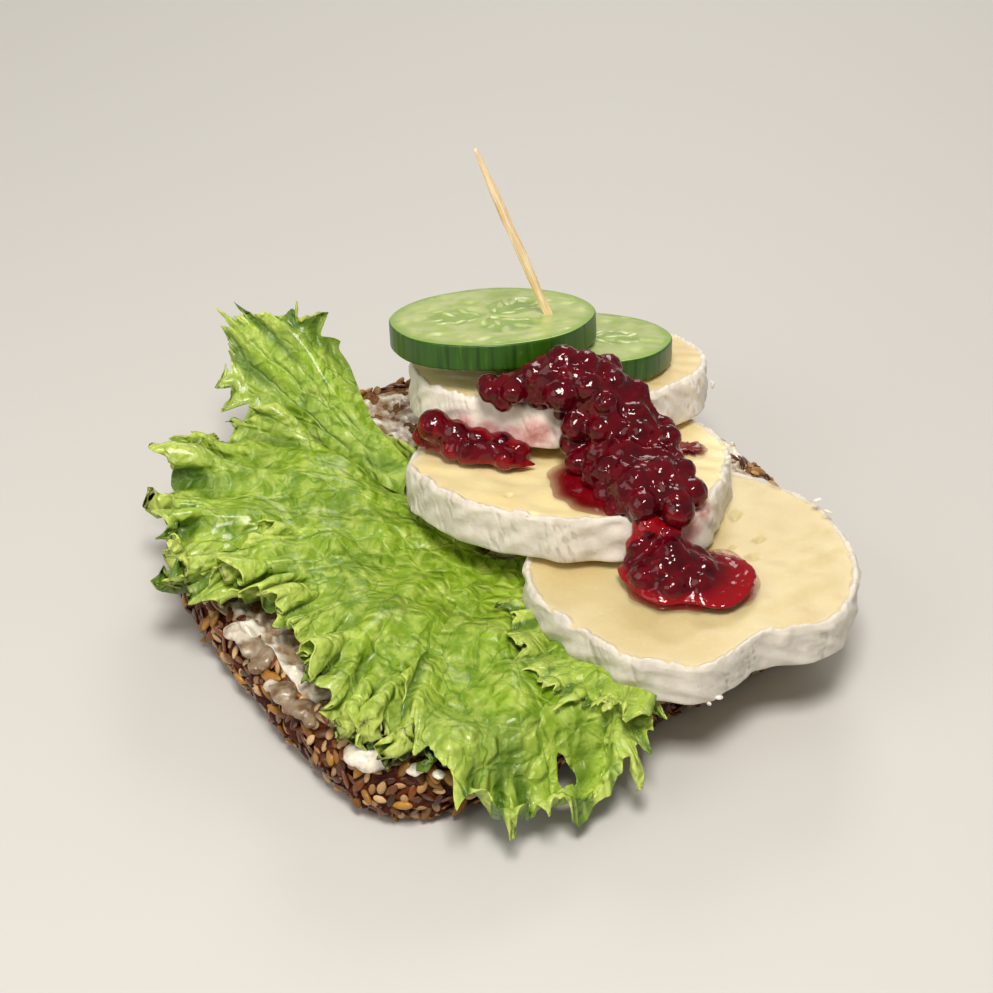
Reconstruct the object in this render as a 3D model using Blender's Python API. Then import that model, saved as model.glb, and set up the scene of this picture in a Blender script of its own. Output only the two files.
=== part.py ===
"""An open sandwich: half a seeded roll with spread, leaf lettuce, three shingled slices of
soft-ripened cheese, two cucumber slices on a pick, and a run of berry jam.

Origin at the middle of the bread's underside, +Z up, the lettuce to the left and front,
the cheese slices stepping down from the back to the front right.
"""

import math

import bmesh
import bpy
from mathutils import Matrix, Vector

MM = 0.001
GAP = 0.3

# Bread: half a round roll with two flattened sides, cut face up.
BREAD_CENTRE = (-3.0, -3.0)
BREAD_RADIUS = 74.0
BREAD_HEIGHT = 15.0
BREAD_FLATS = (  # facing, distance from the centre
    (math.radians(-57.0), 55.5),
    (math.radians(-147.0), 61.0),
)
BREAD_SEGMENTS = 56

# Spread: a smeared layer on the crumb, with lumps left near the rim.
SPREAD_INSET = 5.5
SPREAD_DEPTH = 0.8
SPREAD_LUMPS = (  # x, y, height, reach
    (-56.0, -27.0, 2.2, 6.0),
    (-27.0, -60.5, 2.6, 6.5),
    (-16.0, -63.0, 2.4, 5.0),
    (-22.5, 35.0, 2.0, 4.5),
    (53.0, 40.0, 1.8, 5.5),
)

# Cheese slices: centre of the top face, tilt away from the front, radius, thickness.
SLICE_SEGMENTS = 52
FRONT_CENTRE = (40.7, -24.1, 30.0)
FRONT_TILT = 0.0
FRONT_RADIUS = 34.0
FRONT_THICKNESS = 10.0
MIDDLE_CENTRE = (16.4, 9.8, 35.0)
MIDDLE_TILT = math.radians(10.0)
MIDDLE_RADIUS = 35.0
MIDDLE_THICKNESS = 10.5
BACK_CENTRE = (13.9, 40.6, 38.8)
BACK_TILT = math.radians(18.0)
BACK_RADIUS = 34.0
BACK_THICKNESS = 10.5

# Cucumber slices.
CUCUMBER_SEGMENTS = 40
LOWER_CENTRE = (20.0, 39.6, 45.6)
LOWER_RADIUS = 20.5
LOWER_THICKNESS = 5.4
UPPER_CENTRE = (-1.0, 38.0, 52.6)
UPPER_RADIUS = 23.6
UPPER_THICKNESS = 6.0
UPPER_ROLL = math.radians(-3.0)

# Pick: a round wooden toothpick with two tapered ends.
PICK_RADIUS = 1.0
PICK_TIP_RADIUS = 0.35
PICK_LENGTH = 65.0
PICK_TAPER = 9.0
PICK_ENTRY = (12.0, 37.6, 53.0)
PICK_SHOWN = 46.5
PICK_LEAN = math.radians(21.0)

# Lettuce: two fanned leaves with ruffled margins and a small frill.
LEAF_HALF_THICKNESS = 0.6
LEAF_SHARES = (0.12, 0.36, 0.56, 0.7, 0.81, 0.89, 0.95, 1.0)
FRILL_SHARES = (0.74, 0.83, 0.9, 0.95, 1.0)
FRILL_HEIGHT = 18.85
UPPER_LEAF_ROOT = (1.6, 3.4)
LOWER_LEAF_ROOT = (2.0, 2.4)

# Jam: a run of berries down the slices, the pool below it, and a smaller heap at the left.
JAM_EDGE = 0.6
HEAP_ROUTE = (  # x, y, half width, height of its crest
    (-3.5, 10.6, 2.2, 52.0),
    (4.0, 10.2, 3.5, 56.0),
    (12.0, 10.8, 5.9, 59.5),
    (21.0, 9.5, 8.0, 58.5),
    (28.5, 3.5, 9.5, 52.0),
    (32.0, -5.0, 10.5, 47.5),
    (33.0, -13.0, 10.5, 47.5),
    (33.0, -20.5, 7.5, 44.5),
)
HEAP_STEPS = 22
HEAP_ACROSS = 10
POOL_CENTRE = (40.5, -28.5)
SIDE_CENTRE = (-6.0, 5.2)


def material(name, colour, roughness):
    """A plain surface of one colour."""
    made = bpy.data.materials.new(name)
    made.use_nodes = True
    shader = made.node_tree.nodes["Principled BSDF"]
    shader.inputs["Base Color"].default_value = (*colour, 1.0)
    shader.inputs["Roughness"].default_value = roughness
    shader.inputs["Metallic"].default_value = 0.0
    return made


def place_object(name, shape, finish, matrix=None):
    """Turns a bmesh in millimetres into an object in metres."""
    bmesh.ops.recalc_face_normals(shape, faces=shape.faces)
    bmesh.ops.transform(shape, matrix=Matrix.Scale(MM, 4), verts=shape.verts)
    mesh = bpy.data.meshes.new(name)
    shape.to_mesh(mesh)
    shape.free()
    mesh.shade_smooth()
    mesh.set_sharp_from_angle(angle=math.radians(40.0))
    mesh.materials.append(finish)
    made = bpy.data.objects.new(name, mesh)
    bpy.context.scene.collection.objects.link(made)
    if matrix is not None:
        made.matrix_world = matrix
    return made


def loft(rings, bottom, top):
    """A closed solid through rings of equal count, with a fan to a point at each end."""
    shape = bmesh.new()
    loops = [[shape.verts.new(point) for point in ring] for ring in rings]
    count = len(loops[0])
    for low, high in zip(loops, loops[1:]):
        for i in range(count):
            j = (i + 1) % count
            shape.faces.new((low[i], low[j], high[j], high[i]))
    for loop, point in ((loops[0], bottom), (loops[-1], top)):
        centre = shape.verts.new(point)
        for i in range(count):
            shape.faces.new((loop[i], loop[(i + 1) % count], centre))
    return shape


def sheet(upper, lower):
    """A closed solid between two grids of points with the same rows and columns."""
    shape = bmesh.new()
    grids = [[[shape.verts.new(p) for p in row] for row in grid] for grid in (upper, lower)]
    rows, columns = len(upper), len(upper[0])
    for grid in grids:
        for r in range(rows - 1):
            for c in range(columns - 1):
                shape.faces.new((grid[r][c], grid[r][c + 1], grid[r + 1][c + 1], grid[r + 1][c]))
    rim = [(0, c) for c in range(columns)]
    rim += [(r, columns - 1) for r in range(1, rows)]
    rim += [(rows - 1, c) for c in range(columns - 2, -1, -1)]
    rim += [(r, 0) for r in range(rows - 2, 0, -1)]
    for here, after in zip(rim, rim[1:] + rim[:1]):
        (r0, c0), (r1, c1) = here, after
        shape.faces.new((grids[0][r0][c0], grids[0][r1][c1], grids[1][r1][c1], grids[1][r0][c0]))
    return shape


def bump(x, y, reach):
    """1 at the origin, falling to 0 over about twice the reach."""
    return math.exp(-(x * x + y * y) / (reach * reach))


def smooth_step(value, start, end):
    """0 before start, 1 after end, with an even turn between them."""
    share = min(max((value - start) / (end - start), 0.0), 1.0)
    return share * share * (3.0 - 2.0 * share)


def wrapped(angle):
    """The same angle between minus and plus half a turn."""
    return math.atan2(math.sin(angle), math.cos(angle))


def bread_radius(angle):
    """The roll's outline from its centre, round except for its flattened sides."""
    reach = BREAD_RADIUS + 0.8 * math.sin(3 * angle + 0.6) + 0.6 * math.sin(5 * angle)
    for facing, distance in BREAD_FLATS:
        towards = math.cos(angle - facing)
        if towards > 0.3:
            reach = (reach**-12 + (distance / towards) ** -12) ** (-1 / 12)
    return reach


def bread_point(angle, inset, height):
    """A point that lies inset from the outline."""
    reach = bread_radius(angle) - inset
    x = BREAD_CENTRE[0] + reach * math.cos(angle)
    y = BREAD_CENTRE[1] + reach * math.sin(angle)
    return Vector((x, y, height))


def crust_wobble(angle, height):
    """Small dents and lumps of the seeded crust."""
    return 0.5 * math.sin(17 * angle + height) + 0.35 * math.sin(29 * angle - 0.6 * height)


def bread():
    """The half roll: flat underside, bulging crust, flat cut face."""
    profile = (
        (9.0, 0.0),
        (4.5, 0.6),
        (1.6, 3.0),
        (0.2, 7.0),
        (0.6, 10.5),
        (2.0, 13.6),
        (4.6, BREAD_HEIGHT),
    )
    turn = math.tau / BREAD_SEGMENTS
    rings = []
    for inset, height in profile:
        lumpy = 1.0 if 0.0 < height < BREAD_HEIGHT else 0.0
        ring = []
        for i in range(BREAD_SEGMENTS):
            wobble = lumpy * crust_wobble(i * turn, height)
            ring.append(bread_point(i * turn, inset - wobble, height))
        rings.append(ring)
    centre = Vector((*BREAD_CENTRE, 0.0))
    shape = loft(rings, centre, centre + Vector((0.0, 0.0, BREAD_HEIGHT)))
    return place_object("bread", shape, material("bread crust", (0.16, 0.07, 0.03), 0.75))


def spread_top(x, y):
    """Height of the spread's surface, with its lumps and knife marks."""
    marks = 0.12 * math.sin(0.35 * x + 0.2 * y) + 0.08 * math.sin(0.5 * y - 0.1 * x)
    lumps = sum(tall * bump(x - u, y - v, reach) for u, v, tall, reach in SPREAD_LUMPS)
    return BREAD_HEIGHT + GAP + SPREAD_DEPTH + marks + lumps


def spread():
    """The thin smeared layer that runs over the whole cut face."""
    floor = BREAD_HEIGHT + GAP
    turn = math.tau / BREAD_SEGMENTS

    def edge_inset(angle):
        return SPREAD_INSET + 1.4 * math.sin(7 * angle) + 0.9 * math.sin(13 * angle + 1.0)

    rings = []
    angles = [i * turn for i in range(BREAD_SEGMENTS)]
    rings.append([bread_point(a, edge_inset(a), floor) for a in angles])
    rings.append([bread_point(a, edge_inset(a), floor + 0.4) for a in angles])
    for further in (2.0, 5.0, 10.0, 22.0):
        ring = [bread_point(a, edge_inset(a) + further, 0.0) for a in angles]
        for point in ring:
            point.z = spread_top(point.x, point.y)
        rings.append(ring)
    centre = Vector((*BREAD_CENTRE, floor))
    top = Vector((*BREAD_CENTRE, spread_top(*BREAD_CENTRE)))
    shape = loft(rings, centre, top)
    return place_object("spread", shape, material("spread", (0.86, 0.83, 0.74), 0.35))


def slab_matrix(centre, tilt, roll=0.0):
    """Puts a slab's top centre at the given point, in millimetres, tilted to the back."""
    turned = Matrix.Rotation(roll, 4, "Y") @ Matrix.Rotation(-tilt, 4, "X")
    return Matrix.Translation(Vector(centre) * MM) @ turned


def slab(outline, segments, thickness, edge, bulge, grow=0.0):
    """A slice with rounded edges: its top face at height 0, its underside below."""
    profile = (
        (-edge, -thickness - grow),
        (0.0, edge - thickness - grow),
        (bulge, -0.5 * thickness),
        (0.0, grow - edge),
        (-edge, grow),
    )
    turn = math.tau / segments
    rings = []
    for extra, height in profile:
        ring = []
        for i in range(segments):
            reach = outline(i * turn) + extra + grow
            ring.append((reach * math.cos(i * turn), reach * math.sin(i * turn), height))
        rings.append(ring)
    return loft(rings, (0.0, 0.0, -thickness - grow), (0.0, 0.0, grow))


def front_outline(angle):
    """A round slice, drawn in where its rind has split at the lower right."""
    round_edge = FRONT_RADIUS + 2.0 * math.cos(angle - math.radians(45.0))
    notch = 9.2 * math.exp(-((wrapped(angle - math.radians(-57.0)) / 0.34) ** 2))
    return round_edge + 0.4 * math.sin(6 * angle) - notch


def middle_outline(angle):
    """A slice whose front edge waves where the rind pulled in."""
    swell = 3.2 * math.exp(-((wrapped(angle - math.radians(-48.0)) / 0.32) ** 2))
    wave = 1.6 * math.cos(2 * (angle - math.radians(-10.0))) + 0.7 * math.sin(6 * angle)
    dip = 2.4 * math.exp(-((wrapped(angle - math.radians(-108.0)) / 0.25) ** 2))
    return MIDDLE_RADIUS - 1.0 + swell + wave - dip


def back_outline(angle):
    """The topmost slice, nearly round."""
    return BACK_RADIUS + 0.9 * math.sin(2 * angle + 0.5) + 0.6 * math.cos(5 * angle)


def cutter(name, shape, matrix):
    """A helper that only cuts its neighbours."""
    made = place_object(name, shape, material(name, (0.5, 0.5, 0.5), 1.0), matrix)
    made.hide_render = True
    made.display_type = "WIRE"
    return made


def cut(target, tool):
    """Takes the tool's volume out of the target."""
    modifier = target.modifiers.new(f"cut {tool.name}", "BOOLEAN")
    modifier.operation = "DIFFERENCE"
    modifier.solver = "EXACT"
    modifier.object = tool


def cheese_slices():
    """Three slices, each pressed into the one it lies on."""
    finish = material("cheese", (0.84, 0.70, 0.40), 0.45)
    slices = (
        ("cheese_front", front_outline, FRONT_CENTRE, FRONT_TILT, FRONT_THICKNESS),
        ("cheese_middle", middle_outline, MIDDLE_CENTRE, MIDDLE_TILT, MIDDLE_THICKNESS),
        ("cheese_back", back_outline, BACK_CENTRE, BACK_TILT, BACK_THICKNESS),
    )
    made = []
    for name, outline, centre, tilt, thickness in slices:
        matrix = slab_matrix(centre, tilt)
        shape = slab(outline, SLICE_SEGMENTS, thickness, 0.9, 0.4)
        made.append(place_object(name, shape, finish, matrix))
        if len(made) > 1:
            grown = slab(outline, SLICE_SEGMENTS, thickness, 0.9, 0.4, grow=GAP + 0.1)
            cut(made[-2], cutter(f"{name} press", grown, matrix))
    return made


def cucumber(name, radius, thickness, matrix, finish):
    """A round slice with an almost even edge."""

    def outline(angle):
        return radius + 0.15 * math.sin(5 * angle) + 0.1 * math.cos(8 * angle)

    shape = slab(outline, CUCUMBER_SEGMENTS, thickness, 0.5, 0.1)
    return place_object(name, shape, finish, matrix)


def cucumbers():
    """The lower slice lies on the cheese and the upper one on it."""
    finish = material("cucumber", (0.28, 0.45, 0.12), 0.3)
    lower = slab_matrix(LOWER_CENTRE, BACK_TILT)
    upper = slab_matrix(UPPER_CENTRE, BACK_TILT, UPPER_ROLL)
    return [
        cucumber("cucumber_lower", LOWER_RADIUS, LOWER_THICKNESS, lower, finish),
        cucumber("cucumber_upper", UPPER_RADIUS, UPPER_THICKNESS, upper, finish),
    ]


def pick_shape(radius, tip_radius, length, taper):
    """A round stick along +Z from its lower point at the origin."""
    stations = (
        (tip_radius, 0.0),
        (radius, taper),
        (radius, length - taper),
        (tip_radius, length),
    )
    sides = 16
    rings = []
    for reach, height in stations:
        angles = [math.tau * i / sides for i in range(sides)]
        rings.append([(reach * math.cos(a), reach * math.sin(a), height) for a in angles])
    return loft(rings, (0.0, 0.0, 0.0), (0.0, 0.0, length))


def pick(pierced):
    """The pick stands in what it pierces, leaning to the left."""
    lean = Matrix.Rotation(-PICK_LEAN, 4, "Y")
    entry = Vector(PICK_ENTRY) * MM
    foot = entry - lean @ Vector((0.0, 0.0, (PICK_LENGTH - PICK_SHOWN) * MM))
    matrix = Matrix.Translation(foot) @ lean
    shape = pick_shape(PICK_RADIUS, PICK_TIP_RADIUS, PICK_LENGTH, PICK_TAPER)
    stick = place_object("pick", shape, material("wood", (0.80, 0.60, 0.36), 0.6), matrix)
    below = Matrix.Translation(-(lean @ Vector((0.0, 0.0, GAP * MM)))) @ matrix
    hole = pick_shape(PICK_RADIUS + GAP, PICK_TIP_RADIUS + GAP, PICK_LENGTH, PICK_TAPER)
    tool = cutter("pick hole", hole, below)
    for piece in pierced:
        cut(piece, tool)
    return stick


def leaf(name, root, start, end, columns, reach_at, height_at, finish, shares=LEAF_SHARES):
    """A leaf fanned about its root, from one angle to another."""
    upper, lower = [], []
    for share in shares:
        above, under = [], []
        for c in range(columns + 1):
            angle = start + (end - start) * c / columns
            reach = share * reach_at(angle)
            x = root[0] + reach * math.cos(angle)
            y = root[1] + reach * math.sin(angle)
            z = height_at(x, y, angle, share)
            above.append((x, y, z + LEAF_HALF_THICKNESS))
            under.append((x, y, z - LEAF_HALF_THICKNESS))
        upper.append(above)
        lower.append(under)
    return place_object(name, sheet(upper, lower), finish)


def outside_bread(x, y):
    """How far a place lies outside the roll's outline, negative inside it."""
    u, v = x - BREAD_CENTRE[0], y - BREAD_CENTRE[1]
    return math.hypot(u, v) - bread_radius(math.atan2(v, u))


def resting_height(x, y):
    """The lowest that a leaf's middle surface may lie over the bread and its rim."""
    over = outside_bread(x, y)
    top = spread_top(x, y) if over < -4.0 else BREAD_HEIGHT
    fallen = 2.4 * max(over - 2.5, 0.0)
    return max(top - fallen, 0.0) + LEAF_HALF_THICKNESS + 2.0 * GAP


def ruffle(angle, waves, share, size):
    """Waves across the leaf's margin, none near its root."""
    grown = smooth_step(share, 0.55, 1.0)
    return size * grown * (math.sin(waves * angle) + 0.4 * math.sin(1.7 * waves * angle + 1.0))


def peak(angle, middle_degrees, width):
    """1 at the given direction, falling away to both sides."""
    return math.exp(-((wrapped(angle - math.radians(middle_degrees)) / width) ** 2))


def upper_leaf_reach(angle):
    """Outline of the leaf that fans to the left, with its long curled lobe at the back."""
    lobe = 16.0 * peak(angle, 141.0, 0.12)
    left = 11.0 * peak(angle, 174.0, 0.24)
    low = 7.0 * peak(angle, 200.0, 0.2)
    return 67.0 + lobe + left + low + 1.6 * math.sin(21 * angle)


def upper_leaf_height(x, y, angle, share):
    """A puffed sheet that rises to a curled lobe at the back left."""
    lift = 5.5 * smooth_step(share, 0.2, 0.6)
    rise = 21.0 * peak(angle, 138.0, 0.2) * smooth_step(share, 0.6, 1.0)
    droop = 3.5 * smooth_step(outside_bread(x, y), -4.0, 12.0)
    height = 18.0 + lift + rise - droop + ruffle(angle, 24.0, share, 2.6)
    return max(height, resting_height(x, y))


def lower_leaf_reach(angle):
    """Outline of the leaf that fans to the front, longest where it hangs over the rim."""
    front = 6.0 * peak(angle, 272.0, 0.26)
    bay = 7.0 * peak(angle, 216.0, 0.22)
    right = 20.0 * smooth_step(angle, math.radians(278.0), math.radians(302.0))
    return 74.0 + front - bay - right + 1.6 * math.sin(23 * angle)


def lower_leaf_height(x, y, angle, share):
    """A puffed sheet, flat under the frill, that hangs over the roll's rim at the front."""
    side = smooth_step(angle, math.radians(240.0), math.radians(262.0))
    lift = 5.6 * (1.0 - side) * smooth_step(share, 0.25, 0.6)
    droop = (4.0 + 12.0 * side) * smooth_step(outside_bread(x, y), -1.0, 10.0)
    waves = ruffle(angle, 25.0, share, 2.4 * (1.0 - side))
    waves += 1.2 * side * smooth_step(outside_bread(x, y), -2.0, 6.0) * math.sin(23 * angle)
    return max(17.3 + lift - droop + waves, resting_height(x, y))


def frill_reach(angle):
    """Outline of the small frill from the middle of the slice that covers it."""
    return 39.5 + 1.2 * math.sin(14 * angle)


def frill_height(x, y, angle, share):
    """The small frill lies flat under the cheese and waves beside it."""
    return FRILL_HEIGHT + 0.5 * smooth_step(share, 0.9, 1.0) * (1.0 + math.sin(30 * angle))


def lettuce():
    """Two leaves and a small frill that shows beside the front slice."""
    finish = material("lettuce", (0.36, 0.58, 0.06), 0.35)
    degrees = math.radians
    return [
        leaf(
            "lettuce_upper",
            UPPER_LEAF_ROOT,
            degrees(130.0),
            degrees(202.0),
            44,
            upper_leaf_reach,
            upper_leaf_height,
            finish,
        ),
        leaf(
            "lettuce_lower",
            LOWER_LEAF_ROOT,
            degrees(202.6),
            degrees(302.0),
            56,
            lower_leaf_reach,
            lower_leaf_height,
            finish,
        ),
        leaf(
            "lettuce_frill",
            FRONT_CENTRE,
            degrees(176.0),
            degrees(250.0),
            24,
            frill_reach,
            frill_height,
            finish,
            FRILL_SHARES,
        ),
    ]


def top_height(x, y, slab_place):
    """Height of a slice's top face over a place."""
    _, centre, tilt, _ = slab_place
    return centre[2] - (y - centre[1]) * math.tan(tilt)


def covers(x, y, slab_place, margin):
    """Whether a slice, seen from above and widened by a margin, covers a place."""
    outline, centre, tilt, thickness = slab_place
    u = x - centre[0]
    for lean in (0.0, thickness * math.sin(tilt)):
        v = (y + lean - centre[1]) / math.cos(tilt)
        if math.hypot(u, v) < outline(math.atan2(v, u)) + margin:
            return True
    return False


FRONT_SLAB = (front_outline, FRONT_CENTRE, FRONT_TILT, FRONT_THICKNESS)
MIDDLE_SLAB = (middle_outline, MIDDLE_CENTRE, MIDDLE_TILT, MIDDLE_THICKNESS)
BACK_SLAB = (back_outline, BACK_CENTRE, BACK_TILT, BACK_THICKNESS)


def ground_under_heap(x, y):
    """The cheese under the run of jam, with the step down eased."""
    if covers(x, y, BACK_SLAB, 2.6):
        return top_height(x, y, BACK_SLAB)
    return top_height(x, y, MIDDLE_SLAB)


def berries(x, y):
    """The uneven surface that berries give to the jam, between -1 and 1."""
    return math.sin(1.15 * x + 0.4 * math.sin(0.9 * y)) * math.cos(1.05 * y + 0.3 * x)


def along(route, share):
    """A smooth point on the route, with its half width and crest."""
    place = share * (len(route) - 1)
    i = min(int(place), len(route) - 2)
    before, here, after, next_one = (
        route[min(max(k, 0), len(route) - 1)] for k in (i - 1, i, i + 1, i + 2)
    )
    t = place - i
    values = []
    for a, b, c, d in zip(before, here, after, next_one):
        bend = (2 * a - 5 * b + 4 * c - d) * t + (3 * b - a - 3 * c + d) * t * t
        values.append(b + 0.5 * t * ((c - a) + bend))
    return values


def jam_heap(finish):
    """The run of jam from the back slice down over the middle one."""
    upper, lower = [], []
    for i in range(HEAP_STEPS + 1):
        share = i / HEAP_STEPS
        x, y, wide, crest = along(HEAP_ROUTE, share)
        ahead = along(HEAP_ROUTE, min(share + 0.01, 1.0))
        behind = along(HEAP_ROUTE, max(share - 0.01, 0.0))
        way = Vector((ahead[0] - behind[0], ahead[1] - behind[1])).normalized()
        above, under = [], []
        for j in range(HEAP_ACROSS + 1):
            side = 2.0 * j / HEAP_ACROSS - 1.0
            u = x - way.y * wide * side
            v = y + way.x * wide * side
            floor = ground_under_heap(u, v) + 2.0 * GAP
            dome = math.sqrt(max(1.0 - side**4, 0.0)) * (1.0 + 0.14 * berries(u, v))
            depth = JAM_EDGE + max(crest - floor, 1.0) * dome
            above.append((u, v, floor + depth))
            under.append((u, v, floor))
        upper.append(above)
        lower.append(under)
    return place_object("jam_heap", sheet(upper, lower), finish)


def clear_reach(centre, angle, wanted, above):
    """How far a blob may reach before it meets the slice above it."""
    reach = wanted
    while reach > 1.5:
        x = centre[0] + reach * math.cos(angle)
        y = centre[1] + reach * math.sin(angle)
        if not covers(x, y, above, 2.0):
            return reach
        reach -= 0.1
    return reach


def jam_blob(name, centre, outline, depth_at, on, above, finish):
    """A blob of jam on one slice and beside the next one up."""
    segments = 30
    angles = [math.tau * i / segments for i in range(segments)]
    reaches = [clear_reach(centre, a, outline(a), above) for a in angles]
    rings = []
    for share, standing in ((1.0, False), (1.0, True), (0.86, True), (0.6, True), (0.3, True)):
        ring = []
        for angle, reach in zip(angles, reaches):
            x = centre[0] + share * reach * math.cos(angle)
            y = centre[1] + share * reach * math.sin(angle)
            floor = top_height(x, y, on) + 1.5 * GAP
            ring.append((x, y, floor + (depth_at(x, y, share) if standing else 0.0)))
        rings.append(ring)
    floor = top_height(*centre, on) + 1.5 * GAP
    bottom = (*centre, floor)
    top = (*centre, floor + depth_at(*centre, 0.0))
    return place_object(name, loft(rings, bottom, top), finish)


def pool_outline(angle):
    """The pool on the front slice, widest to the left and the right."""
    return 12.2 + 2.6 * math.cos(2 * angle + 0.3) + 0.7 * math.sin(5 * angle)


def pool_depth(x, y, share):
    """Thin at the right, heaped with berries below the middle slice."""
    heap = 7.5 * bump(x - 35.5, y + 27.0, 7.5)
    return JAM_EDGE + (1.2 + heap * (1.0 + 0.15 * berries(x, y))) * (1.0 - share**3)


def side_outline(angle):
    """The small heap, long from left to right along the slice above it."""
    return 3.2 + 15.0 * peak(angle, 136.0, 0.42) + 12.5 * peak(angle, -13.0, 0.34)


def side_depth(x, y, share):
    """An even mound."""
    return JAM_EDGE + 4.6 * (1.0 - share**4) * (1.0 + 0.15 * berries(x, y))


def jam():
    """The run of jam and the two smaller heaps."""
    finish = material("jam", (0.22, 0.005, 0.015), 0.12)
    return [
        jam_heap(finish),
        jam_blob("jam_pool", POOL_CENTRE, pool_outline, pool_depth, FRONT_SLAB, MIDDLE_SLAB, finish),
        jam_blob("jam_side", SIDE_CENTRE, side_outline, side_depth, MIDDLE_SLAB, BACK_SLAB, finish),
    ]


def clear_scene():
    """Removes whatever the scene holds."""
    for item in list(bpy.data.objects):
        bpy.data.objects.remove(item, do_unlink=True)


def main():
    """Builds the sandwich from the bread up."""
    clear_scene()
    bread()
    spread()
    lettuce()
    front, middle, back = cheese_slices()
    lower, upper = cucumbers()
    pick([upper, lower, back])
    jam()


main()
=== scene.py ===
"""The looks of an open sandwich: seeded half roll, spread, leaf lettuce, soft-ripened cheese,
cucumber slices on a wooden pick, and berry jam.

Shapes are worked out in millimetres and turned into metres when a mesh is made.
"""

import logging
import math
from abc import ABC, abstractmethod
from dataclasses import dataclass
from enum import Enum
from typing import Any, Sequence

import bmesh
import bpy
import numpy as np
from mathutils import Matrix, Vector
from mathutils.bvhtree import BVHTree


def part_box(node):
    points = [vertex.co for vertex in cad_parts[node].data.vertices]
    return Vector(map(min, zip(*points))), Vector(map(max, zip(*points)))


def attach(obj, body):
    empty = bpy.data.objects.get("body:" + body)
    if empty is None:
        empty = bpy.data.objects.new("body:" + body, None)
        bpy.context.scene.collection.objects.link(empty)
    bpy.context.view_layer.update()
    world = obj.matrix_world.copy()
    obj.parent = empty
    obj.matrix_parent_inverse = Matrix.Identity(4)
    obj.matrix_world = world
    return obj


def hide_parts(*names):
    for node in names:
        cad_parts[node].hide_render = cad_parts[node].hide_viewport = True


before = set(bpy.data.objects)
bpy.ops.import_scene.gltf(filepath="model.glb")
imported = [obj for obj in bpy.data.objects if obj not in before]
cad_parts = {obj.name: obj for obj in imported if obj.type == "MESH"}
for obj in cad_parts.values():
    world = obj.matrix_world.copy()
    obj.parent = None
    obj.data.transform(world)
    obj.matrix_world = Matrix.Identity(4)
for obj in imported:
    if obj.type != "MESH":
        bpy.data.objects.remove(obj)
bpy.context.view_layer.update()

log = logging.getLogger("open_sandwich")

MM = 0.001
TAU = math.tau
TINY = 1e-6
Array = np.ndarray
Point = tuple[float, float, float]
Table = tuple[tuple[float, ...], ...]


# ---------------------------------------------------------------- numbers


def srgb(code: str) -> tuple[float, float, float, float]:
    """A colour as linear light.

    Args:
        code: Six hexadecimal digits, as in "c8a878".

    Returns:
        Red, green, blue and an alpha of 1.
    """
    parts = [int(code[i : i + 2], 16) / 255 for i in (0, 2, 4)]
    linear = [p / 12.92 if p <= 0.04045 else ((p + 0.055) / 1.055) ** 2.4 for p in parts]
    return (*linear, 1.0)


def ease(value: Any, start: float, end: float) -> Any:
    """A smooth step from 0 to 1.

    Args:
        value: A number or an array.
        start: Where the step begins.
        end: Where it is complete.

    Returns:
        0 before start, 1 after end.
    """
    share = np.clip((value - start) / (end - start), 0.0, 1.0)
    return share * share * (3.0 - 2.0 * share)


def turn(angle: Any) -> Any:
    """The same angle between minus and plus half a turn."""
    return np.arctan2(np.sin(angle), np.cos(angle))


def peak(angle: Any, degrees: float, width: float) -> Any:
    """1 at a direction in degrees, falling away over a width in radians."""
    return np.exp(-((turn(angle - math.radians(degrees)) / width) ** 2))


def zigzag(clock: Any) -> Any:
    """0 at every whole number and 1 half-way between them, in straight lines."""
    return 1.0 - np.abs(2.0 * (clock % 1.0) - 1.0)


def full_turn(columns: int) -> Array:
    """The directions of a closed grid's columns, where the last is the first again."""
    angle = np.linspace(0.0, TAU, columns + 1)
    angle[-1] = 0.0
    return angle


def stack(*parts: Any) -> Array:
    """Numbers or tables of numbers as the coordinates of a table of vectors."""
    return np.stack(np.broadcast_arrays(*parts), -1)


def lengths(vectors: Array) -> Array:
    """The length of each vector in a table, never quite nothing."""
    return np.maximum(np.linalg.norm(vectors, axis=-1, keepdims=True), TINY)


class Ripple:
    """A smooth uneven field, which is a sum of waves in random directions."""

    def __init__(self, seed: int, length: float, waves: int = 14) -> None:
        """Draws the waves.

        Args:
            seed: Makes the field repeatable.
            length: The typical distance between its crests.
            waves: How many waves are added.
        """
        draw = np.random.default_rng(seed)
        heading = draw.uniform(0.0, TAU, waves)
        number = TAU / (length * draw.uniform(0.6, 1.7, waves))
        self.across = number * np.cos(heading)
        self.along = number * np.sin(heading)
        self.phase = draw.uniform(0.0, TAU, waves)
        self.size = math.sqrt(2.0 / waves)

    def __call__(self, x: Any, y: Any = 0.0) -> Any:
        """Reads the field.

        Args:
            x: Where, across.
            y: Where, along.

        Returns:
            A number, mostly between -1.5 and 1.5, for each place.
        """
        total = 0.0
        for across, along, phase in zip(self.across, self.along, self.phase):
            total = total + np.sin(across * x + along * y + phase)
        return total * self.size


# ---------------------------------------------------------------- node trees


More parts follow.
